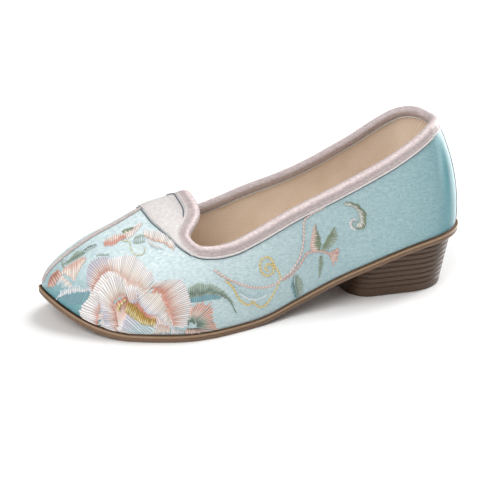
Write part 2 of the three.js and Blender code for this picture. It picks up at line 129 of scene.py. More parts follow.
COLLAR_LINE = (
    EdgeRow(0.000, 0.338),
    EdgeRow(0.020, 0.324),
    EdgeRow(0.045, 0.332),
    EdgeRow(0.080, 0.354),
    EdgeRow(0.140, 0.390),
    EdgeRow(0.220, 0.409),
    EdgeRow(0.310, 0.416),
    EdgeRow(0.400, 0.418),
    EdgeRow(0.490, 0.432),
    EdgeRow(0.570, 0.445),
    EdgeRow(0.625, 0.458),
    EdgeRow(0.667, 0.448),
    EdgeRow(0.694, 0.420),
    EdgeRow(0.708, 0.345),
    EdgeRow(0.693, 0.287),
    EdgeRow(0.681, 0.247),
    EdgeRow(0.672, 0.200),
    EdgeRow(0.668, 0.140),
    EdgeRow(0.668, 0.070),
    EdgeRow(0.668, 0.000),
)

PANEL_EDGE = (
    EdgeRow(0.774, 0.000),
    EdgeRow(0.773, 0.060),
    EdgeRow(0.769, 0.162),
    EdgeRow(0.760, 0.240),
    EdgeRow(0.748, 0.320),
    EdgeRow(0.732, 0.413),
    EdgeRow(0.712, 0.480),
)


@dataclass(frozen=True)
class PaintedLightRow:
    """The painted light on the satin at one share of the last, at its feather and at its ridge: painted
    highlight above 0, painted shade below it.
    """

    share: float
    low: float
    high: float


# Painted light on the satin upper by share: a painted highlight on the heel's back edge, a painted dark
# stripe just ahead of it, paler satin over the vamp and deeper satin at the toe's foot
PAINTED_LIGHT_TABLE = (
    PaintedLightRow(0.000, 1.40, 1.40),
    PaintedLightRow(0.012, 1.10, 1.10),
    PaintedLightRow(0.024, 0.00, 0.00),
    PaintedLightRow(0.042, -0.78, -0.74),
    PaintedLightRow(0.066, -0.50, -0.44),
    PaintedLightRow(0.100, -0.08, 0.00),
    PaintedLightRow(0.170, 0.14, 0.22),
    PaintedLightRow(0.260, 0.28, 0.36),
    PaintedLightRow(0.400, 0.44, 0.54),
    PaintedLightRow(0.550, 0.64, 0.90),
    PaintedLightRow(0.700, 0.75, 1.20),
    PaintedLightRow(0.840, 0.50, 1.10),
    PaintedLightRow(0.920, -0.25, 0.80),
    PaintedLightRow(1.000, -0.40, 0.30),
)


def smooth_column(rows: Sequence, key: str, by: str = "share") -> Callable[[np.ndarray], np.ndarray]:
    """A smooth curve through one column of a table.

    Args:
        rows: the table, in order of the column that it runs by.
        key: the column to read.
        by: the column to run along.

    Returns:
        A function from places along the table to values.
    """
    xs = np.array([getattr(row, by) for row in rows])
    ys = np.array([getattr(row, key) for row in rows])
    before = np.maximum(np.arange(len(xs)) - 1, 0)
    after = np.minimum(np.arange(len(xs)) + 1, len(xs) - 1)
    slopes = (ys[after] - ys[before]) / (xs[after] - xs[before])

    def value(at: np.ndarray) -> np.ndarray:
        """The curve's value at each place."""
        i = np.clip(np.searchsorted(xs, at, side="left") - 1, 0, len(xs) - 2)
        span = xs[i + 1] - xs[i]
        t = np.clip((at - xs[i]) / span, 0, 1)
        t2 = t * t
        t3 = t2 * t
        near = ys[i] * (2 * t3 - 3 * t2 + 1) + slopes[i] * span * (t3 - 2 * t2 + t)
        return near + ys[i + 1] * (3 * t2 - 2 * t3) + slopes[i + 1] * span * (t3 - t2)

    return value


def round_end(distance: np.ndarray, blunt: float) -> np.ndarray:
    """How far a round end has closed, from 1 where it starts to 0 at its tip."""
    return np.sqrt(np.maximum(0, 1 - np.clip(distance, 0, 1) ** blunt))


def wave(value: np.ndarray) -> np.ndarray:
    """A raised cosine: 1 at 0, falling to 0 at 1 and past it."""
    return 0.5 + 0.5 * np.cos(np.pi * np.clip(np.abs(value), 0, 1))


@dataclass(frozen=True)
class Last:
    """The last under the upper, in millimetres, its heel at 0 and its toe at the sole's length."""

    sole_length: float = 233.5
    toe_cut: float = 1.5
    toe_cut_share: float = 0.88
    ball_width: float = 82.0
    heel_rise: float = 31.0
    toe_spring: float = 13.5
    crest_height: float = 62.0
    sole_thickness: float = 3.4
    rim_proud: float = 1.3
    clearance: float = 0.3
    back_lean: float = 27.0
    lean_power: float = 2.0
    toe_start: float = 0.82
    toe_blunt: float = 2.4
    crown_start: float = 0.86
    heel_end: float = 0.13
    collar_end: float = 0.18
    heel_blunt: float = 2.3
    lean_reach: float = 0.30
    normal_step: float = 0.0015
    columns: dict = field(default_factory=lambda: {
        **{key: smooth_column(SOLE_PLAN, key) for key in ("left", "right", "spring")},
        "under": smooth_column(SOLE_PLAN, "rise"),
        **{key: smooth_column(LAST_SECTIONS, key) for key in ("crest", "swell", "rise", "shoulder", "drop")},
    })

    @property
    def plan_length(self) -> float:
        """The length over which shares count, before the toe's end is cut back."""
        return self.sole_length + self.toe_cut

    def along_shoe(self, share: np.ndarray) -> np.ndarray:
        """How far from the heel's end a share of the last lies."""
        cut = np.clip((share - self.toe_cut_share) / (1 - self.toe_cut_share), 0, 1)
        return self.plan_length * share - self.toe_cut * cut * cut

    def end_width(self, share: np.ndarray, back: float | None = None) -> np.ndarray:
        """The share of the width that the round ends leave, the heel's closure starting at back."""
        back = back or self.heel_end
        toe = round_end((share - self.toe_start) / (1 - self.toe_start), self.toe_blunt)
        return toe * round_end((back - share) / back, self.heel_blunt)

    def underside(self, share: np.ndarray) -> np.ndarray:
        """The height of the outsole's underside over the floor."""
        rise = np.maximum(0, self.heel_rise * self.columns["under"](share))
        return rise + np.maximum(0, self.toe_spring * self.columns["spring"](share))

    def plan_half(self, share: np.ndarray, left: np.ndarray) -> np.ndarray:
        """Half width of the plan before its round ends, on the wearer's left where left is true."""
        return self.ball_width * np.where(left, self.columns["left"](share), self.columns["right"](share))

    def sole_half(self, share: np.ndarray, left: np.ndarray) -> np.ndarray:
        """Half width of the sole on the wearer's left where left is true, and else on the right."""
        return self.plan_half(share, left) * self.end_width(share)

    def place(self, share: np.ndarray, around: np.ndarray) -> np.ndarray:
        """Points of the surface.

        Args:
            share: place along the last, 0 at the heel and 1 at the toe.
            around: place round it, -1 at the right feather, 0 on the ridge, 1 at the left feather.

        Returns:
            One row of x, y and z for each place, in millimetres.
        """
        share, around = np.broadcast_arrays(np.asarray(share, float), np.asarray(around, float))
        read = self.columns
        side = np.where(around < 0, -1.0, 1.0)
        t = 1 - np.abs(around)
        u = 1 - t
        half = self.plan_half(share, around >= 0) - self.rim_proud
        feather = half * self.end_width(share)
        shoulder = half * self.end_width(share, self.collar_end) * read["shoulder"](share)
        base = self.underside(share) + self.sole_thickness + self.clearance
        crown = round_end((share - self.crown_start) / (1 - self.crown_start), self.toe_blunt)
        height = (self.crest_height * read["crest"](share) - base) * crown
        wide = feather * (u**3 + 3 * u * u * t * (1 + read["swell"](share))) + 3 * u * t * t * shoulder
        rise = 3 * u * u * t * read["rise"](share) + 3 * u * t * t * (1 - read["drop"](share)) + t**3
        near = np.maximum(0, 1 - share / self.lean_reach)
        lean = self.back_lean * near * near * rise**self.lean_power
        x = self.along_shoe(share) + lean + self.rim_proud * (1 - 2 * share)
        return np.stack([x, side * wide, base + height * rise], -1)

    def one_side_normal(self, share: np.ndarray, around: np.ndarray) -> np.ndarray:
        """The outward normal from neighbours on the same side of the ridge.

        Args:
            share: place along the last, from 0 at the heel to 1 at the toe.
            around: place round it, from -1 at the right feather to 1 at the left one.

        Returns:
            Unit normals.
        """
        side = np.where(around < 0, -1.0, 1.0)
        step = self.normal_step
        along = self.place(share + step, around) - self.place(share - step, around)
        far = side * np.minimum(np.abs(around) + step, 1)
        near = side * (np.abs(around) - step)
        down = (self.place(share, far) - self.place(share, near)) * side[..., None]
        normal = np.cross(along, down)
        return normal / np.linalg.norm(normal, axis=-1, keepdims=True)

    def normal(self, share: np.ndarray, around: np.ndarray) -> np.ndarray:
        """The outward normal, blended over the ridge and the round ends.

        Args:
            share: place along the last, from 0 at the heel to 1 at the toe.
            around: place round it, from -1 at the right feather to 1 at the left one.

        Returns:
            Unit normals.
        """
        share, around = np.broadcast_arrays(np.asarray(share, float), np.asarray(around, float))
        room = 3 * self.normal_step
        side = np.where(around < 0, -1.0, 1.0)
        s = np.clip(share, room, 1 - room)
        a = side * np.maximum(np.abs(around), room)
        from_end = np.sqrt(np.clip(np.minimum(share, 1 - share), 0, room) / room)
        own = np.minimum(from_end, np.minimum(np.abs(around), room) / room)[..., None]
        normal = self.one_side_normal(s, a) * (1 + own) + self.one_side_normal(s, -a) * (1 - own)
        return normal / np.linalg.norm(normal, axis=-1, keepdims=True)

    def lifted(self, share: np.ndarray, around: np.ndarray, lift: np.ndarray | float) -> np.ndarray:
        """Points that stand off the surface by lift, in millimetres."""
        return self.place(share, around) + self.normal(share, around) * np.asarray(lift, float)[..., None]


LAST = Last()


class Cloth:
    """The upper laid out in millimetres: along from the heel, and down the surface from the ridge."""

    STEP = 0.5
    STATIONS = 471
    REACH = 100.0
    SAMPLES = 241

    def __init__(self, last: Last) -> None:
        """Measures the sections of the last, so that millimetres can be read back as places."""
        self.last = last
        self.shares = np.linspace(0, 1, self.STATIONS)
        self.table = {side: self._measure(side) for side in (1, -1)}

    def _measure(self, side: int) -> np.ndarray:
        """How far round each section every step down from the ridge lies.

        Args:
            side: 1 for the wearer's left, -1 for the right.

        Returns:
            One row for each section and one column for each step.
        """
        fine = np.linspace(0, 1, self.SAMPLES)
        points = self.last.place(self.shares[:, None], side * fine[None, :])
        run = np.linalg.norm(np.diff(points, axis=1), axis=2).cumsum(axis=1)
        run = np.concatenate([np.zeros((self.STATIONS, 1)), run], axis=1)
        goals = np.arange(0, self.REACH, self.STEP)
        return np.array([np.interp(goals, row, fine) for row in run])

    def chart(self, along: np.ndarray, down: np.ndarray) -> tuple[np.ndarray, np.ndarray]:
        """Share and around of places given in millimetres along and down."""
        along, down = np.broadcast_arrays(np.asarray(along, float), np.asarray(down, float))
        share = np.clip(along / self.last.plan_length, 0, 1)
        col = np.clip(np.abs(down) / self.STEP, 0, self.REACH / self.STEP - 2)
        row = np.clip(share * (self.STATIONS - 1), 0, self.STATIONS - 2)
        i, j = row.astype(int), col.astype(int)
        fi, fj = row - i, col - j
        out = np.zeros(share.shape)
        for side in (1, -1):
            table = self.table[side]
            upper = table[i, j] * (1 - fj) + table[i, j + 1] * fj
            lower = table[i + 1, j] * (1 - fj) + table[i + 1, j + 1] * fj
            value = upper * (1 - fi) + lower * fi
            out = np.where((down >= 0) == (side > 0), side * value, out)
        return share, out

    def lay(self, along: np.ndarray, down: np.ndarray, lift: np.ndarray | float) -> np.ndarray:
        """Points over the cloth at a lift, all in millimetres."""
        share, around = self.chart(along, down)
        return self.last.lifted(share, around, np.broadcast_to(np.asarray(lift, float), share.shape))


CLOTH = Cloth(LAST)


# Where the part's frame lies: its source builds the shoe from the heel's end and centres it when done
SOLE_LOW, SOLE_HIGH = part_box("outsole")
HALVES = LAST.sole_half(np.linspace(0, 1, 400), np.zeros(400, bool))
SHIFT = Vector((SOLE_LOW[0] / MM, SOLE_LOW[1] / MM + float(HALVES.max()), 0.0))


# Shared tools

# The shoe's middle line, in millimetres: how far back and forward it runs, and its height
MIDDLE_BACK, MIDDLE_FRONT, MIDDLE_UP = -85.0, 80.0, 25.0


def linear(hex_value: str) -> tuple[float, float, float, float]:
    """An sRGB hex colour as the linear values that the shaders take."""
    parts = [int(hex_value[i:i + 2], 16) / 255 for i in (1, 3, 5)]
    return tuple(p / 12.92 if p <= 0.04045 else ((p + 0.055) / 1.055) ** 2.4 for p in parts) + (1.0,)


def add_node(tree: bpy.types.NodeTree, kind: str, settings: dict | None = None, **inputs) -> bpy.types.Node:
    """Adds a node, with its settings, and its inputs as values or as sockets to link from.

    Args:
        tree: the material's or world's node tree.
        kind: the node's type.
        settings: attributes of the node.
        **inputs: socket names, with underscores for spaces, or i0, i1 for places.

    Returns:
        The node.
    """
    node = tree.nodes.new(kind)
    for name, value in (settings or {}).items():
        setattr(node, name, value)
    for name, value in inputs.items():
        key = int(name[1:]) if name[0] == "i" and name[1:].isdigit() else name.replace("_", " ")
        socket = node.inputs[key]
        if isinstance(value, bpy.types.NodeSocket):
            tree.links.new(value, socket)
        else:
            socket.default_value = value
    return node


def chart_grid(name: str, columns: int, rows: int, place: GridRule, tones: GridRule | None = None,
               loop_u: bool = False, loop_v: bool = False, folded: bool = False,
               keep: GridRule | None = None) -> bpy.types.Object:
    """A grid pulled into place over its u and v, as a mesh object that rides on the shoe.

    Args:
        name: the object's name.
        columns: steps along u.
        rows: steps along v.
        place: gives points in millimetres for u and v from 0 to 1.
        tones: gives linear colours for u and v, kept as the mesh's tone attribute.
        loop_u: the grid closes on itself along u.
        loop_v: the grid closes on itself along v.
        folded: the grid is folded on itself, so that its outer face isn't the one away from the shoe.
        keep: tells which places stay, where part of the grid is cut away.

    Returns:
        The object.
    """
    bm = bmesh.new()
    bmesh.ops.create_grid(bm, x_segments=columns, y_segments=rows, size=1.0)
    bm.verts.ensure_lookup_table()
    flat = np.array([vert.co[:2] for vert in bm.verts]) * 0.5 + 0.5
    u, v = flat[:, 0], flat[:, 1]
    points = (place(u, v) + np.array(SHIFT)) * MM
    colours = np.ones((len(u), 4)) if tones is None else tones(u, v)
    uv_layer = bm.loops.layers.uv.new("chart")
    for face in bm.faces:
        for corner in face.loops:
            corner[uv_layer].uv = flat[corner.vert.index]
    layer = bm.verts.layers.float_color.new("tone")
    for vert, point, colour in zip(bm.verts, points, colours):
        vert.co = point
        vert[layer] = colour
    if keep is not None:
        stays = keep(u, v)
        gone = [face for face in bm.faces if not all(stays[vert.index] for vert in face.verts)]
        bmesh.ops.delete(bm, geom=gone, context="FACES")
    if loop_u or loop_v:
        bmesh.ops.remove_doubles(bm, verts=bm.verts[:], dist=WELD)
    if loop_v or folded:
        bmesh.ops.recalc_face_normals(bm, faces=bm.faces[:])
    else:
        turn_outward(bm)
    return finish_mesh(name, bm)


def turn_outward(bm: bmesh.types.BMesh) -> None:
    """Turns a sheet over if it looks towards the shoe's middle line."""
    bm.normal_update()
    tilt = 0.0
    for face in bm.faces:
        spot = face.calc_center_median()
        middle = Vector((min(max(spot.x, MIDDLE_BACK * MM), MIDDLE_FRONT * MM), SHIFT.y * MM, MIDDLE_UP * MM))
        tilt += face.normal.dot(spot - middle) * face.calc_area()
    if tilt < 0:
        bmesh.ops.reverse_faces(bm, faces=bm.faces[:])


def finish_mesh(name: str, bm: bmesh.types.BMesh) -> bpy.types.Object:
    """Turns a bmesh into an object in the scene, riding on the shoe.

    Args:
        name: the object's name.
        bm: the mesh, which is used up.

    Returns:
        The object.
    """
    for face in bm.faces:
        face.smooth = True
    mesh = bpy.data.meshes.new(name)
    bm.to_mesh(mesh)
    bm.free()
    piece = bpy.data.objects.new(name, mesh)
    bpy.context.scene.collection.objects.link(piece)
    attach(piece, "root")
    return piece


def dress(piece: bpy.types.Object, *materials: bpy.types.Material) -> bpy.types.Object:
    """Gives a piece its materials in place of those that it has."""
    piece.data.materials.clear()
    for material in materials:
        piece.data.materials.append(material)
    return piece


# Finishes

def start_material(name: str) -> tuple[bpy.types.Material, bpy.types.NodeTree, bpy.types.Node]:
    """A new material with its node tree and its main shader."""
    material = bpy.data.materials.new(name)
    material.use_nodes = True
    return material, material.node_tree, material.node_tree.nodes["Principled BSDF"]


@dataclass(frozen=True)
class Satin:
    """Satin weave: long floats that lie side by side, so that it gleams in streaks across them."""

    name: str
    base: str
    light: str
    shade: str
    roughness: float = 0.42
    sheen: float = 0.25
    slub_mm: float = 1.1
    bump: float = 0.25

    def make(self) -> bpy.types.Material:
        """Builds the material."""
        material, tree, shader = start_material(self.name)
        place = add_node(tree, "ShaderNodeTexCoord").outputs["Object"]
        # Slubs are finer than a pixel and are drawn coarse enough to show as a soft grain
        long = add_node(tree, "ShaderNodeMapping", Vector=place, Scale=(0.45, 0.45, 1.0)).outputs[0]
        fine = add_node(tree, "ShaderNodeTexNoise", Vector=long, Scale=1 / (self.slub_mm * MM), Detail=4.0,
                        Roughness=0.7)
        broad = add_node(tree, "ShaderNodeTexNoise", Vector=place, Scale=1 / (26 * MM), Detail=2.0)
        crisp = add_node(tree, "ShaderNodeMapRange", Value=fine.outputs["Fac"], i1=0.35, i2=0.65)
        tone = add_node(tree, "ShaderNodeMix", {"data_type": "RGBA"}, i0=crisp.outputs["Result"],
                        i6=linear(self.shade), i7=linear(self.light))
        soft = add_node(tree, "ShaderNodeMix", {"data_type": "RGBA"}, i0=0.6, i6=linear(self.base),
                        i7=tone.outputs[2])
        # The mesh's tone attribute multiplies the dye: the painted highlight and painted shade that each
        # piece carries
        painted_light_attribute = add_node(tree, "ShaderNodeAttribute", {"attribute_name": "tone"})
        turned = add_node(tree, "ShaderNodeMix", {"data_type": "RGBA", "blend_type": "MULTIPLY"}, i0=1.0,
                          i6=soft.outputs[2], i7=painted_light_attribute.outputs["Color"])
        tree.links.new(turned.outputs[2], shader.inputs["Base Color"])
        rough = add_node(tree, "ShaderNodeMapRange", Value=broad.outputs["Fac"], i3=self.roughness - 0.06,
                         i4=self.roughness + 0.08)
        tree.links.new(rough.outputs["Result"], shader.inputs["Roughness"])
        bump = add_node(tree, "ShaderNodeBump", Strength=self.bump, Distance=0.12 * MM,
                        Height=fine.outputs["Fac"])
        tree.links.new(bump.outputs["Normal"], shader.inputs["Normal"])
        shader.inputs["Sheen Weight"].default_value = self.sheen
        shader.inputs["Sheen Roughness"].default_value = 0.4
        shader.inputs["Anisotropic"].default_value = 0.35
        shader.inputs["Specular IOR Level"].default_value = 0.55
        return material


@dataclass(frozen=True)
class Linen:
    """Plain-woven lining: a dull cloth whose crossed threads show as a fine grid."""

    name: str
    base: str
    dark: str
    thread_mm: float = 1.0

    def make(self) -> bpy.types.Material:
        """Builds the material."""
        material, tree, shader = start_material(self.name)
        place = add_node(tree, "ShaderNodeTexCoord").outputs["Object"]
        # Turned a little, so that the threads cross on level cloth as well as on upright cloth
        turned = add_node(tree, "ShaderNodeMapping", Vector=place, Rotation=(0.6, 0.0, 0.0)).outputs[0]
        waves = []
        for direction in ("X", "Z"):
            waves.append(add_node(tree, "ShaderNodeTexWave", {"bands_direction": direction}, Vector=turned,
                                  Scale=math.pi / 10 / (self.thread_mm * MM), Distortion=3.0, Detail=2.0))
        both = add_node(tree, "ShaderNodeMath", {"operation": "MULTIPLY"}, i0=waves[0].outputs["Fac"],
                        i1=waves[1].outputs["Fac"])
        blotch = add_node(tree, "ShaderNodeTexNoise", Vector=place, Scale=1 / (14 * MM), Detail=3.0)
        height = add_node(tree, "ShaderNodeMath", {"operation": "ADD"}, i0=both.outputs[0],
                          i1=blotch.outputs["Fac"])
        ramp = add_node(tree, "ShaderNodeMapRange", Value=height.outputs[0], i1=0.3, i2=1.3)
        tone = add_node(tree, "ShaderNodeMix", {"data_type": "RGBA"}, i0=ramp.outputs["Result"],
                        i6=linear(self.dark), i7=linear(self.base))
        tree.links.new(tone.outputs[2], shader.inputs["Base Color"])
        bump = add_node(tree, "ShaderNodeBump", Strength=0.3, Distance=0.15 * MM, Height=both.outputs[0])
        tree.links.new(bump.outputs["Normal"], shader.inputs["Normal"])
        shader.inputs["Roughness"].default_value = 0.85
        shader.inputs["Sheen Weight"].default_value = 0.2
        return material


@dataclass(frozen=True)
class MouldedRubber:
    """Moulded sole rubber: matt and a little uneven in tone."""

    name: str
    base: str
    dark: str
    roughness: float = 0.55
    grain_mm: float = 2.5

    def make(self) -> bpy.types.Material:
        """Builds the material."""
        material, tree, shader = start_material(self.name)
        place = add_node(tree, "ShaderNodeTexCoord").outputs["Object"]
        stretch = add_node(tree, "ShaderNodeMapping", Vector=place, Scale=(1.0, 1.0, 2.5))
        grain = add_node(tree, "ShaderNodeTexNoise", Vector=stretch.outputs[0], Detail=5.0, Roughness=0.6,
                         Scale=1 / (self.grain_mm * MM))
        tone = add_node(tree, "ShaderNodeMix", {"data_type": "RGBA"}, i0=grain.outputs["Fac"],
                        i6=linear(self.dark), i7=linear(self.base))
        tree.links.new(tone.outputs[2], shader.inputs["Base Color"])
        bump = add_node(tree, "ShaderNodeBump", Strength=0.25, Distance=0.1 * MM, Height=grain.outputs["Fac"])
        tree.links.new(bump.outputs["Normal"], shader.inputs["Normal"])
        shader.inputs["Roughness"].default_value = self.roughness
        return material


@dataclass(frozen=True)
class ThreadWork:
    """Embroidery floss: each thread has its own dye tone and painted shade in the gaps between threads, kept
    on the mesh, and a silky gleam.
    """

    name: str
    roughness: float = 0.45

    def make(self) -> bpy.types.Material:
        """Builds the material."""
        material, tree, shader = start_material(self.name)
        tone = add_node(tree, "ShaderNodeAttribute", {"attribute_name": "tone"})
        tree.links.new(tone.outputs["Color"], shader.inputs["Base Color"])
        place = add_node(tree, "ShaderNodeTexCoord").outputs["Object"]
        fibre = add_node(tree, "ShaderNodeTexNoise", Vector=place, Scale=1 / (0.5 * MM), Detail=3.0)
        bump = add_node(tree, "ShaderNodeBump", Strength=0.3, Distance=0.08 * MM, Height=fibre.outputs["Fac"])
        tree.links.new(bump.outputs["Normal"], shader.inputs["Normal"])
        shader.inputs["Roughness"].default_value = self.roughness
        shader.inputs["Sheen Weight"].default_value = 0.2
        shader.inputs["Sheen Roughness"].default_value = 0.4
        return material


class Finish(Enum):
    """The finishes of the shoe, each made once."""

    SKY_SATIN = Satin("sky_blue_silk_satin", base="#b2cdd4", light="#c8dfe4", shade="#92b3bc", slub_mm=0.9)
    ROSE_SATIN = Satin("rose_white_bias_satin", base="#baaeac", light="#d2c7c5", shade="#a09391", slub_mm=0.8)
    WHITE_SATIN = Satin("white_panel_satin", base="#d0cbc9", light="#e0dcda", shade="#bdb6b4", slub_mm=0.8)
    # Dark slate line for the seams: stitching, and beside the collar's and the panel's white cords also a
    # painted shadow
    SEAM_THREAD = Satin("slate_seam_thread_and_shadow", base="#56636a", light="#6b7980", shade="#434f56", slub_mm=0.6)
    TAN_LINEN = Linen("tan_linen_lining", base="#f6e8d9", dark="#e2cdb6")
    RIM_RUBBER = MouldedRubber("brown_moulded_rubber", base="#7d6149", dark="#624b38")
    LIP_RUBBER = MouldedRubber("tan_moulded_rubber_lip", base="#a3876b", dark="#866a51", roughness=0.5)
    HEEL_RUBBER = MouldedRubber("dark_moulded_rubber_heel", base="#58402c", dark="#3c2a1b")
    FLOSS = ThreadWork("silk_embroidery_floss")

    def material(self) -> bpy.types.Material:
        """The finish's material, made on first use."""
        return bpy.data.materials.get(self.value.name) or self.value.make()


# The collar, as in the part's source

@dataclass(frozen=True)
class Collar:
    """The edge of the upper, once round: down the left side, over the tab and back up the right."""

    back_reach: float = 0.10
    step: float = 0.01
    gap: float = 0.002
    per_row: int = 16

    def route(self) -> tuple[np.ndarray, np.ndarray]:
        """Share and around along the left half, closely spaced."""
        rows = np.array([[row.share * LAST.sole_length, row.around * LAST.ball_width] for row in COLLAR_LINE])
        ends = np.vstack([2 * rows[0] - rows[1], rows, 2 * rows[-1] - rows[-2]])
        out = []
        for i in range(1, len(ends) - 2):
            p0, p1, p2, p3 = ends[i - 1:i + 3]
            gaps = [max(np.linalg.norm(b - a) ** 0.5, 1e-6) for a, b in ((p0, p1), (p1, p2), (p2, p3))]
            m1 = (p1 - p0) / gaps[0] - (p2 - p0) / (gaps[0] + gaps[1]) + (p2 - p1) / gaps[1]
            m2 = (p2 - p1) / gaps[1] - (p3 - p1) / (gaps[1] + gaps[2]) + (p3 - p2) / gaps[2]
            for t in np.linspace(0, 1, self.per_row, endpoint=False):
                a = 2 * p1 - 2 * p2 + (m1 + m2) * gaps[1]
                b = -3 * p1 + 3 * p2 - (2 * m1 + m2) * gaps[1]
                out.append(a * t**3 + b * t**2 + m1 * gaps[1] * t + p1)
        out.append(rows[-1])
        chart = np.array(out)
        return chart[:, 0] / LAST.sole_length, chart[:, 1] / LAST.ball_width

    def stations(self, where: np.ndarray) -> tuple[np.ndarray, np.ndarray]:
        """Share and around of places from 0 to 1 round the whole collar, evenly spaced by length.

        Args:
            where: places from 0 to 1 once round the collar.

        Returns:
            Share and around.
        """
        share, around = self.route()
        points = LAST.place(share, around)
        run = np.concatenate([[0], np.linalg.norm(np.diff(points, axis=0), axis=1).cumsum()])
        run /= run[-1]
        half = np.where(where <= 0.5, where * 2, 2 - where * 2)
        side = np.where(where <= 0.5, 1.0, -1.0)
        return np.interp(half, run, share), side * np.interp(half, run, around)

    def frames(self, where: np.ndarray) -> dict[str, np.ndarray]:
        """The collar's places with their point, the surface's normal and the way down from the edge.

        Args:
            where: places from 0 to 1 once round the collar.

        Returns:
            Arrays by name.
        """
        share, around = self.stations(where)
        s0, a0 = self.stations((where - self.gap) % 1.0)
        s1, a1 = self.stations((where + self.gap) % 1.0)
        tangent = LAST.place(s1, a1) - LAST.place(s0, a0)
        tangent /= np.linalg.norm(tangent, axis=1, keepdims=True)
        normal = LAST.normal(share, around)
        inward = np.cross(normal, tangent)
        inward /= np.linalg.norm(inward, axis=1, keepdims=True)
        return {"share": share, "around": around, "point": LAST.place(share, around), "normal": normal,
                "inward": inward}

    def moved(self, frames: dict[str, np.ndarray], depth: np.ndarray) -> tuple[np.ndarray, np.ndarray]:
        """Where the collar's places come to lie when they move down the surface by depth.

        Args:
            frames: what frames gives for those places.
            depth: millimetres down the surface from the edge.

        Returns:
            Share and around.
        """
        share, around, inward = frames["share"], frames["around"], frames["inward"]
        side = np.where(around < 0, -1.0, 1.0)
        at = np.maximum(np.abs(around), self.step) * side
        down = LAST.place(share, at + side * self.step) - LAST.place(share, at - side * self.step)
        down /= 2 * self.step
        along = LAST.place(share + self.step, at) - LAST.place(share - self.step, at)
        along /= 2 * self.step
        mix = (along * down).sum(1)
        aa, dd = (along**2).sum(1), (down**2).sum(1)
        scale = depth / (aa * dd - mix**2)
        on_share, on_down = (inward * along).sum(1), (inward * down).sum(1)
        step_share = (on_share * dd - on_down * mix) * scale
        step_around = side * (on_down * aa - on_share * mix) * scale
        back = share < self.back_reach
        plain = side * depth / np.sqrt(dd)
        new_around = np.where(back, around + plain, around + step_around)
        new_around = np.where(np.abs(around) < LAST.normal_step, 0.0, new_around)
        return np.where(back, share, share + step_share), new_around

    def place(self, where: np.ndarray, depth: np.ndarray, lift: np.ndarray) -> np.ndarray:
        """Points near the collar: depth down the surface from its edge, lift out from it.

        Args:
            where: places from 0 to 1 once round the collar.
            depth: millimetres down the surface from the edge.
            lift: millimetres out from the surface.

        Returns:
            Points in millimetres.
        """
        frames = self.frames(where)
        share, around = self.moved(frames, np.maximum(depth, 0))
        low = LAST.lifted(share, around, lift)
        high = frames["point"] + frames["inward"] * depth[:, None] + frames["normal"] * lift[:, None]
        return np.where((depth > 0)[:, None], low, high)


COLLAR = Collar()


def end_dense(t: np.ndarray) -> np.ndarray:
    """Even steps made closer at both ends."""
    return (1 - np.cos(np.pi * t)) / 2


# Pieces

@dataclass(frozen=True)
class Fold:
    """One soft fold: its middle along and round the last, its half length and half width, turn and height."""

    along: float
    around: float
    length: float
    width: float
    turn: float
    height: float


FOLDS = (
    Fold(214, 0.86, 9, 3.0, 60, 0.35),
    Fold(206, 0.90, 9, 3.0, 66, -0.3),
    Fold(221, 0.80, 8, 3.0, 48, -0.35),
    Fold(150, 0.62, 22, 7.0, 8, -0.35),
    Fold(118, 0.80, 30, 8.0, 4, 0.4),
    Fold(60, 0.70, 26, 9.0, 20, -0.45),
    Fold(40, 0.80, 24, 7.0, 70, 0.35),
    Fold(16, 0.62, 20, 6.0, 84, -0.4),
)


